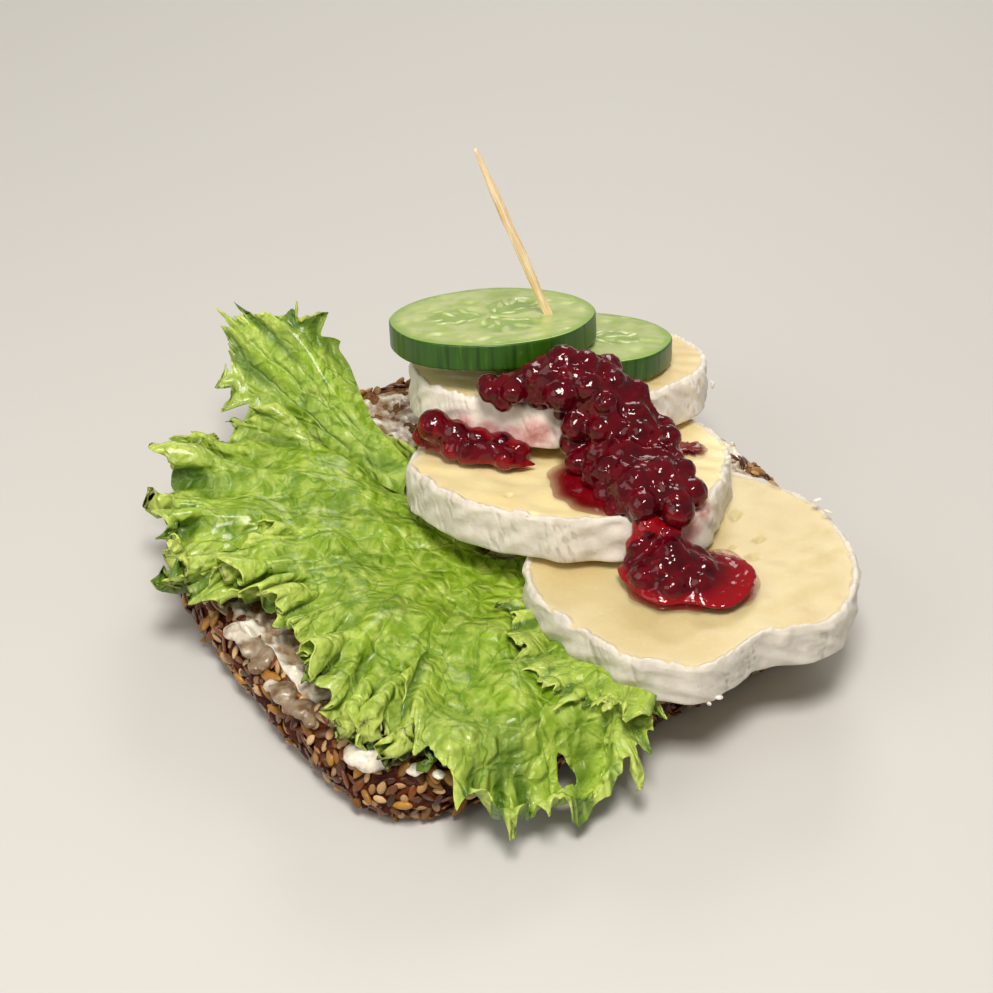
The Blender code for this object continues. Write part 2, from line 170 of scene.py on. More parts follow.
class Value:
    """A number that varies over a surface, with Python's operators as Math nodes."""

    def __init__(self, graph: "Graph", socket: bpy.types.NodeSocket) -> None:
        """Keeps the socket and the tree that it belongs to."""
        self.graph = graph
        self.socket = socket

    def __add__(self, other: Any) -> "Value":
        """Sum."""
        return self.graph.math("ADD", self, other)

    __radd__ = __add__

    def __sub__(self, other: Any) -> "Value":
        """Difference."""
        return self.graph.math("SUBTRACT", self, other)

    def __rsub__(self, other: Any) -> "Value":
        """Difference from a number."""
        return self.graph.math("SUBTRACT", other, self)

    def __mul__(self, other: Any) -> "Value":
        """Product."""
        return self.graph.math("MULTIPLY", self, other)

    __rmul__ = __mul__

    def step(self, start: float, end: float) -> "Value":
        """A smooth step.

        Args:
            start: The value up to which it is 0.
            end: The value from which it is 1.

        Returns:
            The step.
        """
        settings = {"interpolation_type": "SMOOTHSTEP"}
        inputs = {"Value": self, "From Min": start, "From Max": end}
        return self.graph.value("ShaderNodeMapRange", "Result", settings, inputs)


class Graph:
    """A node tree that is being built."""

    def __init__(self, tree: bpy.types.NodeTree) -> None:
        """Keeps the tree."""
        self.tree = tree

    def node(self, kind: str, settings: dict | None = None, inputs: dict | None = None) -> Any:
        """Adds a node.

        Args:
            kind: The node's type.
            settings: Its settings, which are set first.
            inputs: Values, sockets or Value objects by the name or number of its sockets.

        Returns:
            The node.
        """
        made = self.tree.nodes.new(kind)
        for key, setting in (settings or {}).items():
            setattr(made, key, setting)
        for key, given in (inputs or {}).items():
            self.feed(made.inputs[key], given)
        return made

    def feed(self, socket: bpy.types.NodeSocket, given: Any) -> None:
        """Links a socket, or sets its value where a plain value is given.

        Args:
            socket: The input socket.
            given: A Value, an output socket, a number or a colour.
        """
        given = given.socket if isinstance(given, Value) else given
        if isinstance(given, bpy.types.NodeSocket):
            self.tree.links.new(given, socket)
        else:
            socket.default_value = given

    def value(self, kind: str, output: Any, settings: dict, inputs: dict) -> Value:
        """Adds a node and wraps one of its outputs."""
        return Value(self, self.node(kind, settings, inputs).outputs[output])

    def math(self, operation: str, *terms: Any) -> Value:
        """A Math node on its terms."""
        settings = {"operation": operation}
        return self.value("ShaderNodeMath", 0, settings, dict(enumerate(terms)))

    def vector(self, operation: str, *terms: Any) -> bpy.types.NodeSocket:
        """A Vector Math node on its terms."""
        inputs = dict(enumerate(terms))
        return self.node("ShaderNodeVectorMath", {"operation": operation}, inputs).outputs[0]

    def scaled(self, vector: Any, factors: Point) -> bpy.types.NodeSocket:
        """A vector stretched along its axes."""
        return self.vector("MULTIPLY", vector, factors)

    def mix(self, share: Any, low: Any, high: Any) -> bpy.types.NodeSocket:
        """A colour between two others.

        Args:
            share: How much of the second it holds, from 0 to 1.
            low: The first, as a socket or as hexadecimal digits.
            high: The second.

        Returns:
            The mixed colour's socket.
        """
        low, high = (srgb(hue) if isinstance(hue, str) else hue for hue in (low, high))
        inputs = {0: share, 6: low, 7: high}
        return self.node("ShaderNodeMix", {"data_type": "RGBA"}, inputs).outputs[2]

    def joined(self, *parts: Any) -> bpy.types.NodeSocket:
        """A vector made of numbers."""
        return self.node("ShaderNodeCombineXYZ", None, dict(enumerate(parts))).outputs[0]

    def millimetres(self) -> bpy.types.NodeSocket:
        """The object's own coordinates in millimetres."""
        own = self.node("ShaderNodeTexCoord").outputs["Object"]
        return self.scaled(own, (1000.0, 1000.0, 1000.0))

    def attribute(self, name: str) -> bpy.types.NodeSocket:
        """A vector stored on the mesh."""
        return self.node("ShaderNodeAttribute", {"attribute_name": name}).outputs["Vector"]

    def parts(self, vector: Any) -> list[Value]:
        """A vector's three numbers."""
        split = self.node("ShaderNodeSeparateXYZ", None, {0: vector})
        return [Value(self, socket) for socket in split.outputs]

    def noise(self, where: Any, size: float, detail: float = 3.0) -> Value:
        """Cloudy noise between 0 and 1 with features of a size in millimetres."""
        inputs = {"Vector": where, "Scale": 1.0 / size, "Detail": detail}
        return self.value("ShaderNodeTexNoise", 0, {}, inputs)

    def cells(self, where: Any, size: float) -> Value:
        """The distance from the edges in a net of cells of a size in millimetres."""
        settings = {"feature": "DISTANCE_TO_EDGE"}
        inputs = {"Vector": where, "Scale": 1.0 / size}
        return self.value("ShaderNodeTexVoronoi", "Distance", settings, inputs)


@dataclass(frozen=True)
class Relief:
    """Bumps on a surface: their height from 0 to 1, and their depth in millimetres."""

    height: Value
    depth: float


@dataclass(frozen=True)
class Finish(ABC):
    """A surface: its colours, gloss and relief."""

    name: str

    @abstractmethod
    def paint(self, graph: Graph, shader: bpy.types.Node) -> None:
        """Feeds the shader's sockets.

        Args:
            graph: The material's tree.
            shader: Its Principled shader.
        """

    @staticmethod
    def lay(
        graph: Graph,
        shader: bpy.types.Node,
        colour: Any,
        roughness: Any,
        relief: Relief,
        **others: Any,
    ) -> None:
        """Feeds what varies over the surface and sets plain values on the shader's own sockets.

        Args:
            graph: The material's tree.
            shader: Its Principled shader.
            colour: The base colour's socket.
            roughness: How rough each place is.
            relief: The bumps.
            others: What other sockets take, with underscores for the spaces in their names.
        """
        inputs = {"Height": relief.height, "Distance": relief.depth * MM}
        bump = graph.node("ShaderNodeBump", None, inputs).outputs[0]
        graph.feed(shader.inputs["Base Color"], colour)
        graph.feed(shader.inputs["Roughness"], roughness)
        graph.feed(shader.inputs["Normal"], bump)
        for key, given in others.items():
            graph.feed(shader.inputs[key.replace("_", " ")], given)

    def material(self) -> bpy.types.Material:
        """The finish as a material."""
        made = bpy.data.materials.new(self.name)
        made.use_nodes = True
        self.paint(Graph(made.node_tree), made.node_tree.nodes["Principled BSDF"])
        return made


# ---------------------------------------------------------------- workbench


class Bench:
    """The few ways in which meshes are made and finished here."""

    @staticmethod
    def clear() -> None:
        """Deselects everything."""
        bpy.ops.object.select_all(action="DESELECT")

    @staticmethod
    def hold(piece: bpy.types.Object) -> None:
        """Makes one object the only one selected and active."""
        Bench.clear()
        piece.select_set(True)
        bpy.context.view_layer.objects.active = piece

    @staticmethod
    def primitive(kind: str, **sizes: Any) -> bpy.types.Object:
        """Adds a mesh primitive of a kind, with nothing else selected."""
        Bench.clear()
        getattr(bpy.ops.mesh, f"primitive_{kind}_add")(**sizes)
        return bpy.context.object

    @staticmethod
    def ball(
        place: Sequence[float], radius: float, cuts: int, flat: float = 1.0
    ) -> bpy.types.Object:
        """Adds a ball.

        Args:
            place: Its middle, in millimetres.
            radius: Its radius, in millimetres.
            cuts: How often its faces are divided.
            flat: Its height as a share of its width.

        Returns:
            The object.
        """
        middle = tuple(number * MM for number in place)
        return Bench.primitive(
            "ico_sphere", subdivisions=cuts, radius=radius * MM, location=middle, scale=(1, 1, flat)
        )

    @staticmethod
    def grid(name: str, points: Array, notes: dict, closed: bool = False) -> bpy.types.Object:
        """Bends a grid primitive into a surface.

        Args:
            name: The object's name.
            points: Rows by columns by three coordinates, in millimetres.
            notes: A vector for each point, by the attribute's name.
            closed: Whether seams and poles meet, so that they are merged.

        Returns:
            The object.
        """
        rows, columns = points.shape[:2]
        piece = Bench.primitive("grid", x_subdivisions=columns - 1, y_subdivisions=rows - 1)
        piece.name = name
        piece.data.name = name
        piece.data.vertices.foreach_set("co", (points * MM).astype(np.float32).ravel())
        piece.data.shade_smooth()
        for key, values in notes.items():
            Bench.note(piece, key, values)
        if closed:
            Bench.close(piece)
        return piece

    @staticmethod
    def close(piece: bpy.types.Object) -> None:
        """Merges doubled points and turns the faces outwards."""
        Bench.hold(piece)
        bpy.ops.object.mode_set(mode="EDIT")
        bpy.ops.mesh.select_all(action="SELECT")
        bpy.ops.mesh.remove_doubles(threshold=TINY)
        bpy.ops.mesh.normals_make_consistent(inside=False)
        bpy.ops.object.mode_set(mode="OBJECT")

    @staticmethod
    def note(piece: bpy.types.Object, name: str, values: Array) -> None:
        """Stores a vector on each point of a mesh."""
        layer = piece.data.attributes.new(name, "FLOAT_VECTOR", "POINT")
        layer.data.foreach_set("vector", np.asarray(values, np.float32).ravel())

    @staticmethod
    def apply(piece: bpy.types.Object) -> None:
        """Applies all modifiers in order."""
        Bench.hold(piece)
        for modifier in list(piece.modifiers):
            bpy.ops.object.modifier_apply(modifier=modifier.name)

    @staticmethod
    def join(name: str, pieces: Sequence[bpy.types.Object]) -> bpy.types.Object:
        """Makes one object of several.

        Args:
            name: The new object's name.
            pieces: The objects, of which the first is kept.

        Returns:
            The object.
        """
        Bench.clear()
        for piece in pieces:
            piece.select_set(True)
        bpy.context.view_layer.objects.active = pieces[0]
        bpy.ops.object.join()
        joined = bpy.context.object
        joined.name = name
        joined.data.name = name
        return joined

    @staticmethod
    def dress(
        piece: bpy.types.Object, finish: Finish, slot: str, replaced: str | None = None
    ) -> bpy.types.Object:
        """Gives a piece its finish and its place in the frame.

        Args:
            piece: The finished mesh.
            finish: Its surface.
            slot: The material slot; not used.
            replaced: The CAD node that it stands for.

        Returns:
            The piece.
        """
        piece.data.materials.clear()
        piece.data.materials.append(finish.material())
        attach(piece, "root")
        if replaced:
            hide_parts(replaced)
        log.info("%s: %d faces", piece.name, len(piece.data.polygons))
        return piece


def copies(
    template: bpy.types.Object, name: str, places: Sequence[Matrix], tones: Array, key: str = "tone"
) -> bpy.types.Object:
    """Repeats a small mesh at many places, as one mesh.

    Args:
        template: The shape, at true size, which is used up.
        name: The new object's name.
        places: One matrix for each copy.
        tones: One vector for each copy, stored on its points.
        key: The attribute's name.

    Returns:
        The object.
    """
    source = template.data
    count = len(source.vertices)
    points = np.empty(count * 3)
    source.vertices.foreach_get("co", points)
    points = np.c_[points.reshape(-1, 3), np.ones(count)]
    faces = [tuple(p.vertices) for p in source.polygons]
    everything = np.concatenate([(points @ np.array(m).T)[:, :3] for m in places])
    offsets = range(0, count * len(places), count)
    polygons = [tuple(v + k for v in face) for k in offsets for face in faces]
    mesh = bpy.data.meshes.new(name)
    mesh.from_pydata(everything.tolist(), [], polygons)
    mesh.shade_smooth()
    bpy.data.objects.remove(template)
    made = bpy.data.objects.new(name, mesh)
    bpy.context.scene.collection.objects.link(made)
    Bench.note(made, key, np.repeat(tones, count, axis=0))
    return made


def roughen(piece: bpy.types.Object, size: float, depth: float) -> None:
    """Gives a mesh uneven relief.

    Args:
        piece: The mesh.
        size: The size of the bumps in millimetres.
        depth: Their height in millimetres.
    """
    clouds = bpy.data.textures.new("relief", "CLOUDS")
    clouds.noise_scale = size * MM
    relief = piece.modifiers.new("relief", "DISPLACE")
    relief.texture = clouds
    relief.strength = depth * MM
    relief.mid_level = 0.5
    Bench.apply(piece)


def wrap(piece: bpy.types.Object, voxel: float, passes: int, lumps: Table) -> None:
    """Wraps a heap of balls in one soft uneven skin.

    Args:
        piece: The heap, as one object.
        voxel: The size of the skin's faces in millimetres.
        passes: How often it is smoothed.
        lumps: Size and depth of each layer of relief.
    """
    remesh = piece.modifiers.new("skin", "REMESH")
    remesh.mode = "VOXEL"
    remesh.voxel_size = voxel * MM
    soften = piece.modifiers.new("soften", "SMOOTH")
    soften.iterations = passes
    Bench.apply(piece)
    for size, depth in lumps:
        roughen(piece, size, depth)
    piece.data.shade_smooth()


def tumble(draw: np.random.Generator) -> Matrix:
    """A turn by a random angle about a random axis."""
    return Matrix.Rotation(draw.uniform(0.0, TAU), 4, Vector(draw.normal(size=3)).normalized())


def placed(place: Sequence[float], turned: Matrix, size: Sequence[float]) -> Matrix:
    """Where a copy stands: stretched, turned, then moved to a place in millimetres."""
    return Matrix.Translation(Vector(place) * MM) @ turned @ Matrix.Diagonal((*size, 1.0))


def smooth(values: Array, passes: int) -> Array:
    """A row of numbers evened out, with its ends kept."""
    for _ in range(passes):
        inner = 0.25 * values[:-2] + 0.5 * values[1:-1] + 0.25 * values[2:]
        values = np.r_[values[0], inner, values[-1]]
    return values


def smooth_sheet(values: Array, passes: int) -> Array:
    """A table of numbers evened out along both of its directions."""
    for _ in range(passes):
        padded = np.pad(values, 1, mode="edge")
        values = 0.5 * values + 0.125 * (
            padded[:-2, 1:-1] + padded[2:, 1:-1] + padded[1:-1, :-2] + padded[1:-1, 2:]
        )
    return values


class Solid:
    """A CAD node that can be felt from above and below, in millimetres."""

    clearance = 5.0

    def __init__(self, node: str) -> None:
        """Builds the search tree of a node's mesh."""
        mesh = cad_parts[node].data
        points = [v.co / MM for v in mesh.vertices]
        self.tree = BVHTree.FromPolygons(points, [tuple(p.vertices) for p in mesh.polygons])
        low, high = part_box(node)
        self.low, self.high = low / MM, high / MM

    def felt(self, x: float, y: float, start: float, way: float) -> float | None:
        """The height at which a vertical ray meets the solid, or None beside it."""
        hit = self.tree.ray_cast(Vector((x, y, start)), Vector((0.0, 0.0, way)))
        return None if hit[0] is None else hit[0].z

    def top(self, x: float, y: float) -> float | None:
        """The height of the highest surface at a place, or None beside the solid."""
        return self.felt(x, y, self.high.z + self.clearance, -1.0)

    def base(self, x: float, y: float) -> float | None:
        """The height of the lowest surface at a place, or None beside the solid."""
        return self.felt(x, y, self.low.z - self.clearance, 1.0)

    def near_top(self, x: float, y: float) -> float:
        """The height of the top surface at a place, or at the nearest place that has one."""
        found = self.top(x, y)
        if found is None:
            half_way = 0.5 * (self.low.z + self.high.z)
            found = self.tree.find_nearest(Vector((x, y, half_way)))[0].z
        return found


FACES_UP = 0.8


def face_normal(node: str) -> Vector:
    """The direction in which a CAD slice's flat top faces."""
    total = Vector()
    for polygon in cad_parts[node].data.polygons:
        if polygon.normal.z > FACES_UP:
            total += polygon.normal * polygon.area
    return total.normalized()


def seat(points: Array, node: str) -> Array:
    """Tilts a slice as its CAD node is tilted and moves it to that node's place.

    Args:
        points: The slice about its own axis, in millimetres.
        node: The CAD node.

    Returns:
        The points in the object's frame.
    """
    normal = face_normal(node)
    roll = math.atan2(normal.x, normal.z)
    tilt = math.asin(normal.y)
    matrix = Matrix.Rotation(roll, 3, "Y") @ Matrix.Rotation(-tilt, 3, "X")
    turned = points @ np.array(matrix).T
    low, high = (np.array(corner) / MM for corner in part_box(node))
    mine_low, mine_high = (f(turned.reshape(-1, 3), axis=0) for f in (np.min, np.max))
    across = (low[0] + high[0] - mine_low[0] - mine_high[0]) / 2
    return turned + np.array([across, low[1] - mine_low[1], high[2] - mine_high[2]])


# ---------------------------------------------------------------- finishes


@dataclass(frozen=True)
class LeafFinish(Finish):
    """Wet leaf: a net of sunk veins, puffed cells between them, and a pale margin whose edge line
    is also a painted highlight; painted shade in the ruffles' troughs and painted highlights on
    their crests.
    """

    name: str = "leaf"
    deep: str = "6d8e18"
    middle: str = "95b52c"
    pale: str = "c6d66c"
    vein: str = "48780a"
    painted_trough_shade: str = "3c6405"
    rib_cell: float = 8.0
    net_cell: float = 4.2
    wander: float = 4.5
    ribs_begin: tuple[float, float] = (18.0, 40.0)

    def paint(self, graph: Graph, shader: bpy.types.Node) -> None:
        """See Finish."""
        across, out, to_margin = graph.parts(graph.attribute("leaf_map"))
        own = graph.millimetres()
        warp = {"Vector": own, "Scale": 0.13, "Detail": 3.0}
        cloudy = graph.node("ShaderNodeTexNoise", None, warp).outputs["Color"]
        shift = graph.vector("SCALE", graph.vector("SUBTRACT", cloudy, (0.5, 0.5, 0.5)))
        shift.node.inputs["Scale"].default_value = self.wander
        flat = graph.vector("ADD", graph.joined(across, out, 0.0), shift)
        ribs = graph.cells(graph.scaled(flat, (1.0, 0.33, 1.0)), self.rib_cell)
        net = graph.cells(graph.vector("ADD", own, shift), self.net_cell)
        ribbed = out.step(*self.ribs_begin)
        rib_line = (1.0 - ribs.step(0.003, 0.02)) * ribbed
        net_line = 1.0 - net.step(0.0, 0.03)
        cloud = graph.noise(own, 12.0)
        patches = graph.noise(own, 3.0)
        fine = graph.noise(own, 0.8, detail=4.0)
        tone = graph.mix(cloud.step(0.3, 0.7), self.deep, self.middle)
        tone = graph.mix(patches.step(0.4, 0.7) * 0.55, tone, self.pale)
        tone = graph.mix(fine.step(0.4, 0.8) * 0.2, tone, self.middle)
        by_margin = 1.0 - to_margin.step(2.0, 18.0)
        tone = graph.mix(by_margin * 0.3, tone, self.pale)
        faint = graph.noise(own, 7.0, detail=2.0).step(0.38, 0.58)
        lines = graph.math("MAXIMUM", rib_line * 0.65, net_line * faint * 0.5)
        tone = graph.mix(lines * to_margin.step(0.0, 3.0), tone, self.vein)
        # A pale line along the margin's very edge: partly the leaf's own paler edge, partly a
        # painted highlight.
        edge = 1.0 - to_margin.step(0.0, 2.2)
        tone = graph.mix(edge * 0.65, tone, self.pale)
        crest = graph.parts(graph.attribute("crest"))[0]
        # Painted shade: the troughs of the margin's ruffles are darkened towards deep green.
        tone = graph.mix((0.0 - crest).step(-0.15, 0.7) * 0.85, tone, self.painted_trough_shade)
        # Painted highlight: the crests of the margin's ruffles are lightened towards pale.
        tone = graph.mix(crest.step(0.2, 1.1) * 0.35, tone, self.pale)
        puffs = net.step(0.0, 0.3) * 0.55 + ribs.step(0.0, 0.1) * 0.3 * ribbed
        self.lay(
            graph,
            shader,
            tone,
            0.42 - cloud.step(0.35, 0.65) * 0.1,
            Relief(puffs + fine * 0.14 + patches * 0.6, 1.0),
            Subsurface_Weight=0.4,
            Subsurface_Radius=(0.8, 1.0, 0.15),
            Subsurface_Scale=0.0009,
            Specular_IOR_Level=0.35,
            Coat_Weight=0.28,
            Coat_Roughness=0.14,
        )


@dataclass(frozen=True)
class CheeseFinish(Finish):
    """Pale yellow paste inside a white bloomy rind, with painted shade in the rind's creases."""

    name: str = "cheese"
    paste: str = "efdba6"
    paste_deep: str = "e9d09a"
    paste_pale: str = "f4e6c0"
    rind: str = "ece4d9"
    rind_grey_and_crease_shade: str = "bdb2a0"
    speck: str = "9a7a50"
    juice: str = "c04450"

    def paint(self, graph: Graph, shader: bpy.types.Node) -> None:
        """See Finish."""
        rind, crease, to_rind = graph.parts(graph.attribute("zone"))
        own = graph.millimetres()
        broad = graph.noise(own, 16.0, detail=2.0)
        fine = graph.noise(own, 1.3, detail=4.0)
        paste = graph.mix(broad.step(0.3, 0.7), self.paste_deep, self.paste)
        paste = graph.mix(fine.step(0.5, 0.8) * 0.35, paste, self.paste_pale)
        by_rind = 1.0 - to_rind.step(0.3, 3.2)
        paste = graph.mix(by_rind * 0.5, paste, self.paste_pale)
        cloud = graph.noise(own, 4.0)
        # The rind's own grey mottling, at random.
        white = graph.mix(cloud.step(0.35, 0.75) * 0.4, self.rind, self.rind_grey_and_crease_shade)
        # Painted shade: the rind is darkened in its creases.
        white = graph.mix(crease.step(0.2, 1.2) * 0.5, white, self.rind_grey_and_crease_shade)
        specks = graph.noise(own, 0.9, detail=1.0).step(0.74, 0.8)
        white = graph.mix(specks * 0.45, white, self.speck)
        border = (rind + (fine - 0.5) * 0.5).step(0.35, 0.65)
        stain = graph.parts(graph.attribute("stain"))[0] * (0.55 + (fine - 0.5) * 0.9)
        soft = graph.noise(own, 5.0)
        self.lay(
            graph,
            shader,
            graph.mix(stain, graph.mix(border, paste, white), self.juice),
            0.42 + border * 0.38,
            Relief(soft * 0.5 + fine * (0.12 + border * 0.5), 0.35),
            Subsurface_Weight=0.55,
            Subsurface_Radius=(1.0, 0.85, 0.55),
            Subsurface_Scale=0.0025,
            Coat_Weight=0.08,
            Coat_Roughness=0.3,
        )


@dataclass(frozen=True)
class CucumberFinish(Finish):
    """Pale wet flesh with seeds, and dark streaked skin."""

    name: str = "cucumber"
    flesh: str = "a0b65b"
    flesh_pale: str = "bcc884"
    under_skin: str = "80a83a"
    chamber: str = "84a43e"
    seed: str = "cfda98"
    skin: str = "2c5606"
    skin_deep: str = "1a3a02"
    skin_streak: str = "6b9430"

    def paint(self, graph: Graph, shader: bpy.types.Node) -> None:
        """See Finish."""
        skin, chamber, seeds = graph.parts(graph.attribute("zone"))
        across, up, rim = graph.parts(graph.attribute("place"))
        own = graph.millimetres()
        cloud = graph.noise(own, 5.0)
        fine = graph.noise(own, 0.8)
        flesh = graph.mix(cloud.step(0.3, 0.7), self.flesh, self.flesh_pale)
        flesh = graph.mix(chamber * 0.75, flesh, self.chamber)
        flesh = graph.mix(seeds.step(0.15, 0.6) * 0.55, flesh, self.seed)
        flesh = graph.mix(rim.step(0.86, 0.99) * 0.8, flesh, self.under_skin)
        streak = graph.noise(graph.joined(across, up * 0.06), 1.5)
        hue = graph.mix(streak.step(0.3, 0.55), self.skin_deep, self.skin)
        hue = graph.mix(streak.step(0.58, 0.72) * 0.7, hue, self.skin_streak)
        self.lay(
            graph,
            shader,
            graph.mix(skin.step(0.4, 0.6), flesh, hue),
            0.3 + skin * 0.06,
            Relief(cloud * 0.4 + fine * 0.12 + seeds * 0.5 - chamber * 0.4, 0.25),
            Subsurface_Weight=0.4,
            Subsurface_Radius=(0.8, 1.0, 0.3),
            Subsurface_Scale=0.0018,
            Coat_Roughness=0.22,
            Coat_Weight=0.3 - skin * 0.2,
        )


@dataclass(frozen=True)
class JamFinish(Finish):
    """Glossy jelly: nearly black red where it is deep, bright red where it is thin."""

    name: str = "jam"
    deep: str = "2e0009"
    body: str = "540010"
    thin: str = "8c0a14"
    roughness: float = 0.09

    def paint(self, graph: Graph, shader: bpy.types.Node) -> None:
        """See Finish."""
        thin, tone, faint = graph.parts(graph.attribute("depth"))
        own = graph.millimetres()
        cloud = graph.noise(own, 3.5)
        fine = graph.noise(own, 0.6)
        body = graph.mix(cloud.step(0.35, 0.65), self.deep, self.body)
        body = graph.mix(tone * 0.5, body, self.thin)
        self.lay(
            graph,
            shader,
            graph.mix(thin, body, self.thin),
            self.roughness + cloud.step(0.5, 0.8) * 0.08,
            Relief(graph.noise(own, 1.8, detail=2.0) * 0.6 + fine * 0.12, 0.3),
            Alpha=1.0 - faint,
            Subsurface_Weight=0.15,
            Subsurface_Radius=(1.0, 0.05, 0.06),
            Subsurface_Scale=0.0014,
            Specular_IOR_Level=0.08,
            Coat_Weight=0.6,
            Coat_Roughness=0.02,
            IOR=1.4,
        )


@dataclass(frozen=True)
class CrustFinish(Finish):
    """Dark sides and open brown crumb on top, with painted shade in the crumb's pores."""

    name: str = "crust"
    dark: str = "331204"
    brown: str = "60290a"
    crumb: str = "8c6a44"
    crumb_dark: str = "6a4424"

    def paint(self, graph: Graph, shader: bpy.types.Node) -> None:
        """See Finish."""
        crumb, pore, _ = graph.parts(graph.attribute("zone"))
        own = graph.millimetres()
        cloud = graph.noise(own, 3.0, detail=5.0)
        fine = graph.noise(own, 0.6, detail=4.0)
        side = graph.mix(cloud.step(0.35, 0.68), self.dark, self.brown)
        top = graph.mix(fine.step(0.35, 0.7), self.crumb_dark, self.crumb)
        # Painted shade: the sunk pores of the crumb are darkened towards brown.
        top = graph.mix(pore, top, self.brown)
        self.lay(
            graph,
            shader,
            graph.mix(crumb, side, top),
            0.5 + crumb * 0.35,
            Relief(cloud + fine * 0.35, 0.7),
            Subsurface_Weight=0.05,
            Subsurface_Scale=0.001,
            Specular_IOR_Level=0.2,
        )


@dataclass(frozen=True)
class SeedFinish(Finish):
    """Seeds of one kind, each a little different in tone."""

    name: str = "seed"
    dark: str = "8a5a3c"
    light: str = "c8a878"
    roughness: float = 0.42
    coat: float = 0.1
    burnt: str = "3a1a0a"

    def paint(self, graph: Graph, shader: bpy.types.Node) -> None:
        """See Finish."""
        tone, burnt, _ = graph.parts(graph.attribute("tone"))
        fine = graph.noise(graph.millimetres(), 0.5)
        hue = graph.mix(tone, self.dark, self.light)
        hue = graph.mix(fine.step(0.45, 0.8) * 0.4, hue, self.dark)
        hue = graph.mix(burnt.step(0.75, 1.0) * 0.6, hue, self.burnt)
        self.lay(
            graph,
            shader,
            hue,
            self.roughness + fine * 0.12,
            Relief(fine, 0.12),
            Subsurface_Weight=0.12,
            Subsurface_Scale=0.0008,
            Specular_IOR_Level=0.3,
            Coat_Weight=self.coat,
            Coat_Roughness=0.2,
        )


@dataclass(frozen=True)
class SpreadFinish(Finish):
    """Soft white spread, greyish and see-through where it is thin."""

    name: str = "spread"
    white: str = "e6dfd0"
    grey: str = "a8977c"
    bread: str = "8a6442"

    def paint(self, graph: Graph, shader: bpy.types.Node) -> None:
        """See Finish."""
        thick = graph.parts(graph.attribute("zone"))[0]
        own = graph.millimetres()
        cloud = graph.noise(own, 2.6, detail=4.0)
        fine = graph.noise(own, 0.7)
        thin = graph.mix(cloud.step(0.3, 0.6), self.bread, self.grey)
        hue = graph.mix((thick + (cloud - 0.5) * 1.1).step(0.1, 0.7), thin, self.white)
        self.lay(
            graph,
            shader,
            hue,
            0.3 + fine * 0.15,
            Relief(cloud * 0.8 + fine * 0.3, 0.5),
            Subsurface_Weight=0.5,
            Subsurface_Radius=(1.0, 0.85, 0.6),
            Subsurface_Scale=0.0018,
            Coat_Weight=0.35,
            Coat_Roughness=0.15,
        )


@dataclass(frozen=True)
class WoodFinish(Finish):
    """Pale wood with long grain."""

    name: str = "wood"
    light: str = "ffedcb"
    dark: str = "efc890"

    def paint(self, graph: Graph, shader: bpy.types.Node) -> None:
        """See Finish."""
        along, around, _ = graph.parts(graph.attribute("place"))
        grain = graph.noise(graph.joined(around, along * 0.05, 0.0), 0.35, detail=4.0)
        cloud = graph.noise(graph.millimetres(), 6.0)
        hue = graph.mix(grain.step(0.35, 0.7), self.dark, self.light)
        hue = graph.mix(cloud.step(0.4, 0.7) * 0.3, hue, self.light)
        self.lay(
            graph,
            shader,
            hue,
            0.5 + grain * 0.15,
            Relief(grain, 0.08),
            Subsurface_Weight=0.15,
            Subsurface_Scale=0.0008,
        )


@dataclass(frozen=True)
class FloorFinish(Finish):
    """A plain pale table."""

    name: str = "floor"
    colour: str = "c9c8c5"

    def paint(self, graph: Graph, shader: bpy.types.Node) -> None:
        """See Finish."""
        grain = graph.noise(graph.millimetres(), 3.0)
        graph.feed(shader.inputs["Roughness"], 0.62 + grain * 0.1)
        graph.feed(shader.inputs["Base Color"], srgb(self.colour))


# ---------------------------------------------------------------- slices


